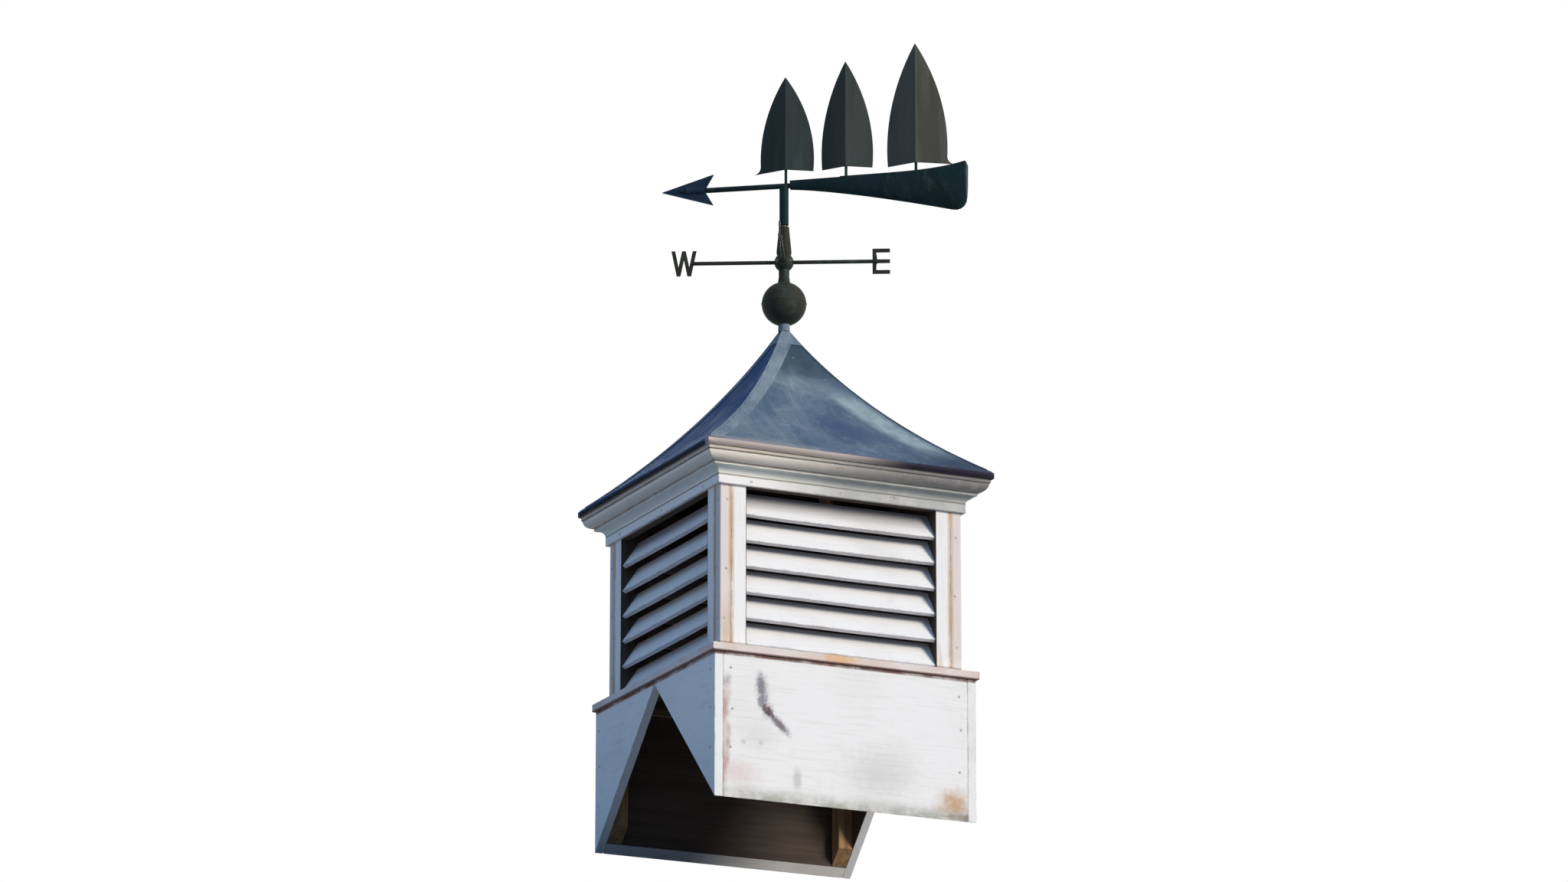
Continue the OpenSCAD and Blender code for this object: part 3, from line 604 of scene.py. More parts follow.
def front_slope_marks(f, colour, roof):
    """The front slope's damp patch, its washed streak, its rim by the hem and its duller top."""
    damp = f.spot(0.05, PLATE + 0.083, 0.17, 0.055, turn=8, ragged=0.45, soft=0.8)
    colour = f.mix(f.both(damp, 0.7), colour, shade(64, 86, 116))
    streak = f.band(f.calc("ADD", f.x, f.y), -0.045, 0.014, 0.035)
    streak = f.both(streak, f.band(f.z, PLATE + 0.12, 0.04, 0.06))
    uneven = f.step(f.noise(40, 5, 0.6), 0.35, 0.6, 0.6, 0.95)
    colour = f.mix(f.both(streak, uneven), colour, shade(158, 176, 180))
    low = f.both(f.step(f.x, 0.06, 0.26), f.step(f.z, PLATE + 0.07, PLATE + 0.02))
    colour = f.mix(f.both(low, 0.8), colour, shade(52, 62, 84))
    rim = f.both(f.step(f.z, PLATE + 0.02, PLATE + 0.004), f.step(f.x, 0.1, -0.25, 0.0, 0.6))
    colour = f.mix(rim, colour, shade(166, 160, 160))
    return f.mix(f.step(f.z, PLATE + 0.2, PLATE + 0.26, 0.0, 0.75), colour, shade(56, 70, 82))


def hem_stain(f, colour):
    """The stain along the front's hem, tan at the left and dark at the right."""
    stain = f.mix(f.step(f.x, 0.14, -0.04), shade(56, 51, 64), shade(204, 190, 182))
    front = f.step(f.y, 0.018 - EAVE_OUT, 0.006 - EAVE_OUT)
    low = f.both(f.step(f.z, PLATE + 0.0035, PLATE + 0.001), front)
    return f.mix(f.both(low, 0.9), colour, stain)


def shaded_slope_marks(damp):
    """Painted shade: clouds of deeper blue on a slope, bluest by the front hip.

    Damp is the share of this painted shade on the slope, from 0 to 1."""
    def marks(f, colour, roof):
        # Painted shade of a deeper blue, strongest on the left slope
        clouds = f.step(f.noise(8, 6, 0.66, shift=(2, 2, 2)), 0.34, 0.62, 0.5 * damp, damp)
        colour = f.mix(clouds, colour, shade(6, 64, 114))
        # More painted shade high up by the front hip
        high = f.step(f.z, PLATE + 0.02, PLATE + 0.12, 0.0, 0.6 * damp)
        near = f.both(f.step(f.calc("SUBTRACT", f.x, f.y), -0.12, -0.02), high)
        return f.mix(near, colour, shade(0, 72, 124))
    return marks


def patina(name, base, vane, rub=0.5, bloom=0.4, down=(1, 1, 0.3)):
    """Dark patina on metal: a grey-green bloom, brown rubs on the edges and fine pits."""
    f = Finish(name, metallic=0.08, specular=0.06)
    cloud = f.noise(18, 6, 0.62, down)
    fine = f.noise(190, 4, 0.6)
    colour = f.mix(f.step(cloud, 0.36, 0.62), tuple(c * 0.6 for c in base), base)
    colour = f.mix(f.step(f.noise(34, 6, 0.7, down), 0.5, 0.72, 0.0, bloom), colour, vane.bloom)
    colour = f.mix(f.step(fine, 0.58, 0.74, 0.0, 0.3 * bloom + 0.1), colour, vane.bloom)
    colour = f.mix(f.both(f.edges(0.0022), f.step(cloud, 0.35, 0.6, 0.2 * rub, rub)), colour, vane.rub)
    pits = f.step(f.noise(420, 2, 0.5), 0.66, 0.74, 0.0, -1.0)
    height = f.calc("MULTIPLY_ADD", fine, 0.5, pits)
    return f.done(colour, f.step(cloud, 0.3, 0.7, 0.5, 0.74), height, 0.0006, 0.35)


def steel(name, vane):
    """Darkened steel with fine rings from the turning."""
    f = Finish(name, metallic=0.8, specular=0.4)
    ring = f.noise(700, 2, 0.5, (0.02, 0.02, 1))
    rust = f.noise(40, 5, 0.65, (1, 1, 0.4))
    colour = f.mix(f.step(ring, 0.4, 0.6, 0.0, 0.4), vane.steel, shade(86, 84, 82))
    colour = f.mix(f.step(rust, 0.52, 0.66, 0.0, 0.6), colour, shade(84, 58, 42))
    return f.done(colour, f.step(rust, 0.4, 0.7, 0.35, 0.65), ring, 0.0004, 0.3)


# Shapes


def merged_copy(node):
    """A bmesh of a node with its loose triangles joined up again."""
    bm = bmesh.new()
    bm.from_mesh(NODES[node].data)
    bmesh.ops.remove_doubles(bm, verts=bm.verts, dist=0.00001)
    bmesh.ops.dissolve_limit(
        bm, angle_limit=math.radians(0.4), use_dissolve_boundaries=False, verts=bm.verts, edges=bm.edges
    )
    return bm


def ease(bm, width):
    """Rounds the outer edges that turn by more than 32 degrees."""
    corner = math.radians(32)
    sharp = [e for e in bm.edges if len(e.link_faces) == 2 and e.calc_face_angle_signed(0.0) > corner]
    bmesh.ops.bevel(
        bm, geom=sharp, offset=width, offset_type="OFFSET", segments=2, profile=0.5,
        affect="EDGES", material=-1, clamp_overlap=True,
    )


def settle(bm, name, material, body="cupola", stands_for=None, corner=34.0):
    """Makes the piece from its bmesh, shaded smooth up to a corner, and puts it on its body.

    It may stand for one node, which is then hidden."""
    mesh = bpy.data.meshes.new(name)
    bm.to_mesh(mesh)
    bm.free()
    if "custom_normal" in mesh.attributes:
        mesh.attributes.remove(mesh.attributes["custom_normal"])
    mesh.shade_smooth()
    mesh.set_sharp_from_angle(angle=math.radians(corner))
    mesh.materials.clear()
    mesh.materials.append(material)
    mesh.polygons.foreach_set("material_index", [0] * len(mesh.polygons))
    piece = bpy.data.objects.new(name, mesh)
    bpy.context.scene.collection.objects.link(piece)
    even = piece.modifiers.new("Even Shading", "WEIGHTED_NORMAL")
    even.keep_sharp = True
    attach(piece, body)
    if stands_for:
        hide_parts(stands_for)
    return piece


def eased_copy(node, name, width, material, body="cupola"):
    """The node's own shape with eased edges, as a piece that stands for it."""
    bm = merged_copy(node)
    ease(bm, width)
    settle(bm, name, material, body, node)


def spin(turn):
    """The matrix of some quarter turns about the Z axis."""
    return Matrix.Rotation(turn * math.pi / 2, 3, "Z")


def quarter_turns(bm, count):
    """Turns all of a bmesh by some quarter turns about the Z axis."""
    bmesh.ops.rotate(bm, verts=bm.verts, cent=(0, 0, 0), matrix=spin(count))


def turned(bm, outline, steps=40):
    """Turns an outline of radius and height about the Z axis, and closes its poles."""
    verts = [bm.verts.new((radius, 0, z)) for radius, z in outline]
    edges = [bm.edges.new(pair) for pair in zip(verts, verts[1:])]
    bmesh.ops.spin(
        bm, geom=verts + edges, cent=(0, 0, 0), axis=(0, 0, 1), angle=math.tau, steps=steps, use_merge=True
    )
    bmesh.ops.remove_doubles(bm, verts=bm.verts, dist=0.00001)
    bmesh.ops.recalc_face_normals(bm, faces=bm.faces)


def dome(radius, rise, sink, steps=10):
    """A low domed head, set a little into what it stands on, with its axis up."""
    bm = bmesh.new()
    crown = [(0, rise), (radius * 0.55, rise * 0.8), (radius, rise * 0.15)]
    turned(bm, crown + [(radius, -sink), (0, -sink)], steps)
    mesh = bpy.data.meshes.new("dome")
    bm.to_mesh(mesh)
    bm.free()
    return mesh


def scatter(head, places):
    """One bmesh with a copy of a head at each place, its axis along the place's direction."""
    bm = bmesh.new()
    for point, direction in places:
        before = set(bm.verts)
        bm.from_mesh(head)
        fresh = [v for v in bm.verts if v not in before]
        turn = Vector((0, 0, 1)).rotation_difference(Vector(direction)).to_matrix().to_4x4()
        bmesh.ops.transform(bm, matrix=Matrix.Translation(point) @ turn, verts=fresh)
    return bm


def tube(bm, points, radius, closed=False):
    """Adds a round wire that follows some points."""
    curve = bpy.data.curves.new("wire", "CURVE")
    curve.dimensions = "3D"
    curve.bevel_depth = radius
    curve.bevel_resolution = 2
    curve.use_fill_caps = True
    spline = curve.splines.new("POLY")
    spline.points.add(len(points) - 1)
    for spot, point in zip(spline.points, points):
        spot.co = (*point, 1.0)
    spline.use_cyclic_u = closed
    holder = bpy.data.objects.new("wire", curve)
    mesh = bpy.data.meshes.new_from_object(holder)
    bm.from_mesh(mesh)
    bpy.data.objects.remove(holder)
    bpy.data.curves.remove(curve)


# Operators


class CUPOLA_OT_base(bpy.types.Operator):
    """Base boards, corner blocks and sill"""

    bl_idname = "cupola.base"
    bl_label = "Base"

    def execute(self, context):
        timber = context.scene.cupola_timber
        front = painted_wood("board_front", "X", timber, 0.0, 0.1, 0.4, marks=front_marks, inside=inside_base)
        back = painted_wood("board_back", "X", timber, 3.1, 0.6, 1.0, marks=sill_shadow_line, inside=inside_base)
        side = painted_wood("board_side", "Y", timber, 5.3, 0.5, 0.8, marks=sill_shadow_line, inside=inside_base)
        sill_x = painted_wood("sill_x", "X", timber, 1.4, 0.4, 0.8, marks=sill_marks, inside=inside_sill)
        sill_y = painted_wood("sill_y", "Y", timber, 2.2, 0.4, 0.8, marks=sill_marks, inside=inside_sill)
        for name, material in (("front", front), ("back", back), ("left", side), ("right", side)):
            eased_copy(f"base_{name}", f"board_{name}", timber.ease, material)
        eased_copy("sills_front_back", "sill_boards_x", timber.ease, sill_x)
        eased_copy("sills_left_right", "sill_boards_y", timber.ease, sill_y)
        block = bare_wood("wood_upright", "Z", timber)
        eased_copy("base_blocks", "corner_blocks", timber.ease, block)
        return {"FINISHED"}


class CUPOLA_OT_posts(bpy.types.Operator):
    """Corner posts, their strips and the head rails"""

    bl_idname = "cupola.posts"
    bl_label = "Posts"

    def execute(self, context):
        timber = context.scene.cupola_timber
        upright = painted_wood(
            "post_paint", "Z", timber, 7.7, 0.2, 0.6, marks=joint_marks, inside=inside_post
        )
        strip = painted_wood("strip_paint", "Z", timber, 4.2, 0.35, 0.9, timber.strip, marks=joint_marks)
        for name in POSTS:
            eased_copy(f"post_{name}", f"corner_post_{name}", timber.ease, upright)
        eased_copy("corner_strips", "strips", timber.ease, strip)
        for pair, grain in (("front_back", "X"), ("left_right", "Y")):
            rail = painted_wood(f"head_{grain}", grain, timber, 6.1, 0.4, 1.3, inside=inside_head)
            eased_copy(f"heads_{pair}", f"head_rails_{grain.lower()}", timber.ease, rail)
        return {"FINISHED"}


class CUPOLA_OT_louvres(bpy.types.Operator):
    """Louvre blades, a little sagged and uneven with age"""

    bl_idname = "cupola.louvres"
    bl_label = "Louvres"

    def execute(self, context):
        timber = context.scene.cupola_timber
        for turn, side in enumerate(SIDES):
            grain = "X" if turn % 2 == 0 else "Y"
            bm = merged_copy(f"louvres_{side}")
            quarter_turns(bm, -turn)
            half = max(v.co.x for v in bm.verts)
            long_edges = [e for e in bm.edges if abs(e.verts[0].co.x - e.verts[1].co.x) > half]
            bmesh.ops.subdivide_edges(bm, edges=long_edges, cuts=7, use_grid_fill=True)
            for v in bm.verts:
                blade = int((v.co.z - BLADE_FOOT) / BLADE_PITCH)
                dip = noise.noise(Vector((v.co.x * 3, blade * 7.3, turn * 5.1)))
                v.co.z -= timber.sag * (1 - (v.co.x / half) ** 2) * (0.6 + dip)
            quarter_turns(bm, turn)
            ease(bm, timber.ease)
            paint = painted_wood(
                f"blade_{side}", grain, timber, 2.9 + turn, 0.2, 0.7,
                marks=blade_marks, inside=inside_blade(turn),
            )
            settle(bm, f"blades_{side}", paint, stands_for=f"louvres_{side}")
        return {"FINISHED"}


class CUPOLA_OT_cornice(bpy.types.Operator):
    """Four mitred runs of moulding under the roof"""

    bl_idname = "cupola.cornice"
    bl_label = "Cornice"

    def execute(self, context):
        timber = context.scene.cupola_timber
        for turn, side in enumerate(SIDES):
            grain = "X" if turn % 2 == 0 else "Y"
            marks = front_cornice_marks if side == "front" else cornice_marks
            name = f"cornice_{side}_paint"
            paint = painted_wood(name, grain, timber, 1.1 + turn, 0.35, 1.0, timber.aged, marks=marks)
            eased_copy(f"cornice_{side}", f"moulding_{side}", FINE_EDGE, paint)
        return {"FINISHED"}


class CUPOLA_OT_nails(bpy.types.Operator):
    """Painted nail heads in the base boards, the strips and the cornice"""

    bl_idname = "cupola.nails"
    bl_label = "Nails"

    def execute(self, context):
        timber = context.scene.cupola_timber
        hand = random.Random(11)
        places = []
        for turn in range(4):
            end = BASE_OUT - NAIL_IN[turn % 2]
            strip = (JOINT_OUT + BODY_OUT) / 2
            spots = [(x, BASE_OUT, z) for x in (-end, end) for z in BOARD_NAILS]
            spots += [(x, BODY_OUT, z) for x in (-strip, strip) for z in STRIP_NAILS]
            spots += [(x, LIP_OUT, LIP_MIDDLE) for x in LIP_NAILS]
            for x, out, z in spots:
                aside, up = hand.uniform(-0.004, 0.004), hand.uniform(-0.012, 0.012)
                point = Vector((x + aside, -out, z + up * (z < HEAD)))
                places.append((spin(turn) @ point, spin(turn) @ Vector((0, -1, 0))))
        f = Finish("nail_paint")
        worn = f.noise(500, 4, 0.6)
        colour = f.mix(f.step(worn, 0.42, 0.66, 0.0, 0.7), timber.dingy, timber.rust)
        painted = f.done(colour, f.step(worn, 0.3, 0.7, 0.6, 0.85), worn, 0.0004, 0.4)
        heads = scatter(dome(timber.nail, rise=0.0007, sink=0.0015), places)
        settle(heads, "nail_heads", painted)
        return {"FINISHED"}


class CUPOLA_OT_roof(bpy.types.Operator):
    """Four hollow-curved sheets with laps, rivets, hem wire and cap"""

    bl_idname = "cupola.roof"
    bl_label = "Roof"

    HIP_LEFT = Vector((-1, 1, 0)).normalized()
    HIP_RIGHT = Vector((1, 1, 0)).normalized()

    def arc(self):
        """The centre of the front slope's arc, its start at the eave and its turn up to the point."""
        eave = Vector((0, -EAVE_OUT, PLATE + EAVE_RISE))
        chord = Vector((0, 0, POINT)) - eave
        radius = chord.length ** 2 / (8 * ROOF_SAG) + ROOF_SAG / 2
        outward = Vector((0, -chord.z, chord.y)) / chord.length
        centre = eave + chord / 2 + outward * (radius - ROOF_SAG)
        return centre, eave, (eave - centre).angle(eave + chord - centre)

    def on_slope(self, share):
        """A point of the front slope's middle line and its outward direction, by its share of the way up."""
        centre, eave, angle = self.arc()
        reach = Matrix.Rotation(angle * share, 3, "X") @ (eave - centre)
        return centre + reach, -reach.normalized()

    def sheet(self, columns=30):
        """The front slope's surface as a grid, before it is cut at the hips."""
        centre, eave, angle = self.arc()
        bm = bmesh.new()
        foot = bm.verts.new((-EAVE_OUT, eave.y, eave.z))
        middle = (-EAVE_OUT, centre.y, centre.z)
        bmesh.ops.spin(bm, geom=[foot], cent=middle, axis=(1, 0, 0), angle=angle, steps=SLOPE_STEPS)
        hem = bmesh.ops.extrude_vert_indiv(bm, verts=[foot])["verts"]
        bmesh.ops.translate(bm, verts=hem, vec=(0, 0, -HEM_DROP))
        grown = bmesh.ops.extrude_edge_only(bm, edges=bm.edges)
        side = [g for g in grown["geom"] if isinstance(g, bmesh.types.BMVert)]
        bmesh.ops.translate(bm, verts=side, vec=(2 * EAVE_OUT, 0, 0))
        rungs = [e for e in bm.edges if abs(e.verts[0].co.x - e.verts[1].co.x) > 0.1]
        bmesh.ops.subdivide_edges(bm, edges=rungs, cuts=columns - 1, use_grid_fill=True)
        return bm

    def trim(self, bm, *planes):
        """Cuts away what lies past each plane, given by a point and the direction past it."""
        for point, past in planes:
            whole = bm.verts[:] + bm.edges[:] + bm.faces[:]
            bmesh.ops.bisect_plane(bm, geom=whole, plane_co=point, plane_no=past, clear_outer=True)
        bmesh.ops.recalc_face_normals(bm, faces=bm.faces)
        if max(bm.faces, key=lambda face: face.calc_center_median().z).normal.z < 0:
            bmesh.ops.reverse_faces(bm, faces=bm.faces)
        bm.normal_update()

    def gauge(self, piece, thickness, offset):
        """Gives a sheet its thickness."""
        wall = piece.modifiers.new("Gauge", "SOLIDIFY")
        wall.thickness = thickness
        wall.offset = offset

    def execute(self, context):
        roof = context.scene.cupola_roof
        for turn, side in enumerate(SIDES):
            bm = self.sheet()
            self.trim(bm, ((0, 0, 0), self.HIP_LEFT), ((0, 0, 0), self.HIP_RIGHT))
            for v in bm.verts:
                from_hip, from_eave = -v.co.y - abs(v.co.x), v.co.z - PLATE - EAVE_RISE
                inside = min(1.0, from_hip / DENT_FADE[0]) * min(1.0, from_eave / DENT_FADE[1])
                if inside > 0:
                    place = Vector((v.co.x * 6 + turn * 9.7, v.co.y * 5, v.co.z * 5))
                    v.co += v.normal * noise.fractal(place, 1.0, 2.0, 3) * roof.dent * inside
            quarter_turns(bm, turn)
            marks = front_slope_marks if side == "front" else shaded_slope_marks(SLOPE_SHADE[side])
            across = "X" if turn % 2 == 0 else "Y"
            metal = roof_metal(f"roof_{side}_metal", roof, across, seed=3.7 * turn, marks=marks)
            piece = settle(bm, f"sheet_{side}", metal, stands_for=f"roof_{side}")
            self.gauge(piece, SHEET, -1.0)
        seam = roof_metal("seam_metal", roof, seed=8.0)
        self.laps(roof, seam)
        self.wires(roof, seam)
        self.rivets(roof)
        cap = roof_metal("cap_metal", roof, seed=5.0)
        eased_copy("roof_cap", "point_cap", CAP_EDGE, cap)
        return {"FINISHED"}

    def laps(self, roof, metal):
        """A strip along each hip, where one sheet is folded over the next."""
        bm = bmesh.new()
        for turn in range(4):
            strip = self.sheet(90)
            self.trim(
                strip, ((0, 0, 0), self.HIP_LEFT), (self.HIP_LEFT * -roof.lap, -self.HIP_LEFT),
                ((0, 0, 0), self.HIP_RIGHT), ((0, 0, PLATE + 2 * EAVE_RISE), (0, 0, -1)),
            )
            for v in strip.verts:
                v.co += v.normal * LAP_LIFT
            quarter_turns(strip, turn)
            mesh = bpy.data.meshes.new("strip")
            strip.to_mesh(mesh)
            strip.free()
            bm.from_mesh(mesh)
        self.gauge(settle(bm, "hip_laps", metal), LAP_SHEET, 0.0)

    def wires(self, roof, metal):
        """A bead up each hip and a wire rolled into the hem."""
        bm = bmesh.new()
        line = [self.on_slope(step / SLOPE_STEPS)[0] for step in range(1, SLOPE_STEPS - 1)]
        for turn in range(4):
            tube(bm, [spin(turn) @ Vector((p.y, p.y, p.z + BEAD_LIFT)) for p in line], BEAD)
        out = EAVE_OUT - roof.hem_wire
        foot = PLATE + EAVE_RISE - HEM_DROP + WIRE_LIFT
        corners = [spin(turn) @ Vector((-out, -out, foot)) for turn in range(4)]
        tube(bm, corners, roof.hem_wire, True)
        settle(bm, "hip_beads", metal)

    def rivets(self, roof):
        """Small solder-capped rivets along the laps."""
        places = []
        for index in range(roof.rivets):
            point, out = self.on_slope((index + 0.6) / (roof.rivets + 0.8))
            spot = Vector((point.y + roof.lap * 0.65, point.y, point.z)) + out * 0.001
            if spot.x < -RIVET_STOP:
                places += [(spin(turn) @ spot, spin(turn) @ out) for turn in range(4)]
        f = Finish("solder", metallic=0.3, specular=0.2)
        dull = f.noise(300, 4, 0.6)
        colour = f.mix(f.step(dull, 0.35, 0.65), roof.slate, roof.pale)
        material = f.done(colour, f.step(dull, 0.3, 0.7, 0.45, 0.7), dull, 0.0004, 0.3)
        settle(scatter(dome(0.0028, rise=0.0011, sink=0.0012), places), "rivets", material)


class CUPOLA_OT_roof_frame(bpy.types.Operator):
    """Hip rafters and the block they meet in"""

    bl_idname = "cupola.roof_frame"
    bl_label = "Roof Frame"

    def execute(self, context):
        timber = context.scene.cupola_timber
        rafter = bare_wood("wood_rafter", "X", timber)
        eased_copy("hip_rafters", "rafters", timber.ease, rafter)
        king = bare_wood("wood_king", "Z", timber)
        eased_copy("king_block", "king", timber.ease, king)
        return {"FINISHED"}


class CUPOLA_OT_finial(bpy.types.Operator):
    """Ball and spindle over the roof's point"""

    bl_idname = "cupola.finial"
    bl_label = "Finial"

    def execute(self, context):
        vane = context.scene.cupola_vane
        low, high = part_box("ball")
        middle, radius = (low.z + high.z) / 2, (high.x - low.x) / 2
        flat = math.acos((high.z - low.z) / 2 / radius)
        bm = bmesh.new()
        foot = bm.verts.new((radius * math.sin(flat), 0, middle - radius * math.cos(flat)))
        bmesh.ops.spin(
            bm, geom=[foot], cent=(0, 0, middle), axis=(0, -1, 0), angle=math.pi - 2 * flat, steps=40
        )
        for end in [v for v in bm.verts if len(v.link_edges) == 1]:
            inner = bmesh.ops.extrude_vert_indiv(bm, verts=[end])["verts"]
            bmesh.ops.translate(bm, verts=inner, vec=(-end.co.x, 0, 0))
        bmesh.ops.spin(
            bm, geom=bm.verts[:] + bm.edges[:], cent=(0, 0, 0), axis=(0, 0, 1), angle=math.tau, steps=72,
            use_merge=True,
        )
        bmesh.ops.remove_doubles(bm, verts=bm.verts, dist=0.00001)
        bmesh.ops.recalc_face_normals(bm, faces=bm.faces)
        side = Vector((radius + 0.0001, 0, middle))
        tube(bm, [spin(step / 18) @ side for step in range(72)], BALL_SEAM, True)
        dark = patina("ball_patina", vane.dark, vane, rub=0.4, bloom=0.3, down=(1, 1, 1))
        settle(bm, "finial_ball", dark, stands_for="ball", corner=50)
        eased_copy("spindle", "spindle_rod", FINE_EDGE, steel("spindle_steel", vane))
        return {"FINISHED"}


class CUPOLA_OT_compass(bpy.types.Operator):
    """Turned hub, four arms with their letters, and set screws"""

    bl_idname = "cupola.compass"
    bl_label = "Compass"

    def execute(self, context):
        vane = context.scene.cupola_vane
        dark = patina("compass_patina", vane.dark, vane, rub=0.6, bloom=0.35)
        eased_copy("compass_hub", "hub", FINE_EDGE, dark)
        for name in ARMS:
            eased_copy(f"arm_{name}", f"compass_{name}", vane.ease, dark)
        level = Vector((0, 0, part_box("compass_hub")[0].z + ARM_RISE))
        between = [spin(arm + SCREW_TURN) @ Vector((1, 0, 0)) for arm in range(4)]
        places = [(level + aside * (HUB_BULB - 0.0007), aside) for aside in between]
        screws = scatter(dome(0.0042, rise=0.0022, sink=0.002, steps=16), places)
        settle(screws, "set_screws", steel("screw_steel", vane))
        return {"FINISHED"}


class CUPOLA_OT_vane(bpy.types.Operator):
    """Sleeve, bar and arrow of the vane"""

    bl_idname = "cupola.vane"
    bl_label = "Vane"

    def execute(self, context):
        vane = context.scene.cupola_vane
        bar = patina("bar_patina", vane.hull, vane, rub=0.6, bloom=0.35)
        arrow = patina("arrow_patina", vane.arrow, vane, rub=0.4, bloom=0.25)
        pieces = (("vane_sleeve", "sleeve", bar), ("vane_bar", "bar", bar), ("arrow_head", "arrow", arrow))
        for node, name, finish in pieces:
            eased_copy(node, name, vane.ease, finish, "vane")
        return {"FINISHED"}


class CUPOLA_OT_ship(bpy.types.Operator):
    """Hull with rails, masts and three folded sails"""

    bl_idname = "cupola.ship"
    bl_label = "Ship"

    def rails(self, vane, metal):
        """A round rail on the deck's edge, along each side of the ship."""
        low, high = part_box("arrow_head")
        ahead = (low + high) / 2
        astern = Vector((-ahead.x, -ahead.y, 0)).normalized()
        aside = Vector((0, 0, 1)).cross(astern)
        hull = merged_copy("ship_hull")
        deck = [
            e for e in hull.edges
            if len(e.link_faces) == 2 and e.calc_face_angle(0.0) > math.radians(45)
            and max(face.normal.z for face in e.link_faces) > 0.9
        ]
        bm = bmesh.new()
        for hand in (-1, 1):
            edge = {v for e in deck for v in e.verts if v.co.dot(aside) * hand > vane.rail * 3}
            inward = aside * -hand * vane.rail
            tube(bm, [v.co + inward for v in sorted(edge, key=lambda v: v.co.dot(astern))][1:-1], vane.rail)
        hull.free()
        settle(bm, "rails", metal, "vane")

    def execute(self, context):
        vane = context.scene.cupola_vane
        hull = patina("hull_patina", vane.hull, vane, rub=0.6, bloom=0.3, down=(1, 1, 0.5))
        eased_copy("ship_hull", "hull", vane.ease * 1.5, hull, "vane")
        eased_copy("masts", "mast_rods", vane.ease, hull, "vane")
        for name, share in SAILS.items():
            base = Vector(vane.hull).lerp(Vector(vane.sail), share)
            sail = patina(f"{name}_patina", tuple(base), vane, rub=0.5, bloom=0.2, down=(1, 1, 0.12))
            eased_copy(name, f"{name}_sheet", vane.ease, sail, "vane")
        self.rails(vane, hull)
        return {"FINISHED"}


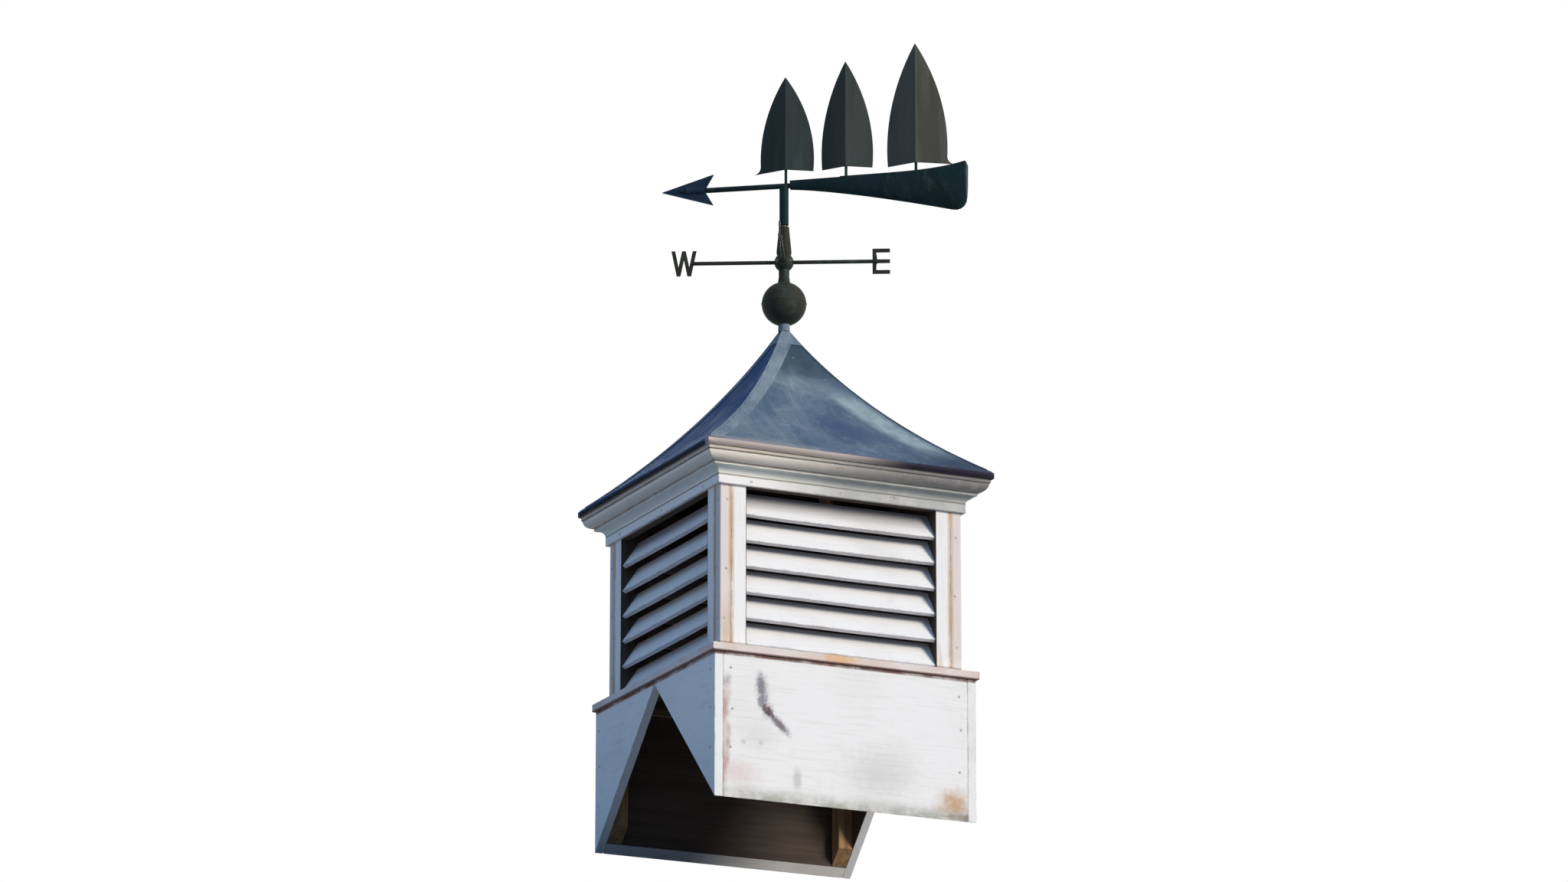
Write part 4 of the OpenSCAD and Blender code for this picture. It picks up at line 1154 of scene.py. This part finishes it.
class CUPOLA_OT_stage(bpy.types.Operator):
    """Camera, lamps, pale surroundings and floor"""

    bl_idname = "cupola.stage"
    bl_label = "Stage"

    def lamp(self, context, name, towards, strength, soft, colour):
        """A lamp that lights evenly from one direction, as soft as the angle that it fills."""
        data = bpy.data.lights.new(name, "SUN")
        data.energy = strength
        data.angle = math.radians(soft)
        data.color = colour
        lamp = bpy.data.objects.new(name, data)
        lamp.location = towards
        lamp.rotation_euler = Vector(towards).to_track_quat("Z", "Y").to_euler()
        context.scene.collection.objects.link(lamp)

    def surroundings(self, context, strength):
        """White to look at and in reflections, and a soft cool light on the object."""
        world = Shading(bpy.data.worlds.new("Studio"))
        rays = world.add("ShaderNodeLightPath").outputs
        seen = world.most(*(rays[f"Is {kind} Ray"] for kind in ("Camera", "Glossy", "Transmission")))
        white = world.add("ShaderNodeBackground")
        world.feed(white.inputs["Color"], (1, 1, 1))
        soft = world.add("ShaderNodeBackground")
        world.feed(soft.inputs["Color"], SKY_COLOUR)
        world.feed(soft.inputs["Strength"], strength)
        output = world.add("ShaderNodeOutputWorld")
        world.feed(output.inputs["Surface"], world.blend(seen, soft.outputs[0], white.outputs[0]))
        context.scene.world = world.owner

    def floor(self, context, colour):
        """A wide pale floor that keeps shadows, and hides nothing from a camera below it."""
        bm = bmesh.new()
        bmesh.ops.create_grid(bm, x_segments=2, y_segments=2, size=FLOOR_REACH)
        mesh = bpy.data.meshes.new("floor")
        bm.to_mesh(mesh)
        bm.free()
        floor = Shading(bpy.data.materials.new("floor"))
        rays = floor.add("ShaderNodeLightPath").outputs
        below = floor.both(rays["Is Camera Ray"], floor.add("ShaderNodeNewGeometry").outputs["Backfacing"])
        pale = floor.add("ShaderNodeBsdfDiffuse")
        floor.feed(pale.inputs["Color"], floor.mix(rays["Is Diffuse Ray"], tuple(colour), FLOOR_SHADE))
        glow = floor.add("ShaderNodeEmission")
        floor.feed(glow.inputs["Color"], GLOW_COLOUR)
        dim = floor.calc("MULTIPLY_ADD", rays["Is Diffuse Ray"], -FLOOR_GLOW, FLOOR_GLOW)
        floor.feed(glow.inputs["Strength"], dim)
        lit = floor.add("ShaderNodeAddShader")
        floor.feed(lit.inputs[0], pale.outputs[0])
        floor.feed(lit.inputs[1], glow.outputs[0])
        clear = floor.add("ShaderNodeBsdfTransparent")
        output = floor.add("ShaderNodeOutputMaterial")
        floor.feed(output.inputs["Surface"], floor.blend(below, lit.outputs[0], clear.outputs[0]))
        mesh.materials.append(floor.owner)
        ground = bpy.data.objects.new("floor", mesh)
        context.scene.collection.objects.link(ground)

    def execute(self, context):
        stage = context.scene.cupola_stage
        scene = context.scene
        scene.view_settings.view_transform = "Standard"
        data = bpy.data.cameras.new("Camera")
        data.lens = stage.lens
        data.sensor_width = 36.0
        data.clip_end = 200.0
        camera = bpy.data.objects.new("Camera", data)
        camera.location = CAMERA_AT
        aim = Vector(AIM_AT) - camera.location
        camera.rotation_euler = aim.to_track_quat("-Z", "Y").to_euler()
        scene.collection.objects.link(camera)
        scene.camera = camera
        self.lamp(context, "Key", KEY_FROM, stage.key, KEY_ANGLE, KEY_COLOUR)
        self.lamp(context, "Fill", FILL_FROM, stage.fill, FILL_ANGLE, FILL_COLOUR)
        self.surroundings(context, stage.sky)
        self.floor(context, stage.floor)
        return {"FINISHED"}


OPERATORS = (
    CUPOLA_OT_base, CUPOLA_OT_posts, CUPOLA_OT_louvres, CUPOLA_OT_cornice, CUPOLA_OT_nails,
    CUPOLA_OT_roof, CUPOLA_OT_roof_frame, CUPOLA_OT_finial, CUPOLA_OT_compass, CUPOLA_OT_vane,
    CUPOLA_OT_ship, CUPOLA_OT_stage,
)
SETTINGS = {
    "cupola_timber": TimberSettings,
    "cupola_roof": RoofSettings,
    "cupola_vane": VaneSettings,
    "cupola_stage": StageSettings,
}


class CUPOLA_PT_panel(bpy.types.Panel):
    """The cupola's settings and its steps, in order"""

    bl_idname = "CUPOLA_PT_panel"
    bl_label = "Louvred Cupola"
    bl_space_type = "VIEW_3D"
    bl_region_type = "UI"
    bl_category = "Cupola"

    def draw(self, context):
        for name, group in SETTINGS.items():
            box = self.layout.box()
            settings = getattr(context.scene, name)
            for key in group.__annotations__:
                box.prop(settings, key)
        for operator in OPERATORS:
            self.layout.operator(operator.bl_idname)


def register():
    for cls in (*SETTINGS.values(), *OPERATORS, CUPOLA_PT_panel):
        bpy.utils.register_class(cls)
    for name, group in SETTINGS.items():
        setattr(bpy.types.Scene, name, PointerProperty(type=group))


def unregister():
    for name in SETTINGS:
        delattr(bpy.types.Scene, name)
    for cls in (CUPOLA_PT_panel, *reversed(OPERATORS), *SETTINGS.values()):
        bpy.utils.unregister_class(cls)


def main():
    """Builds every piece."""
    register()
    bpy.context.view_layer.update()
    for operator in OPERATORS:
        group, step = operator.bl_idname.split(".")
        getattr(getattr(bpy.ops, group), step)()


if __name__ == "__main__":
    main()
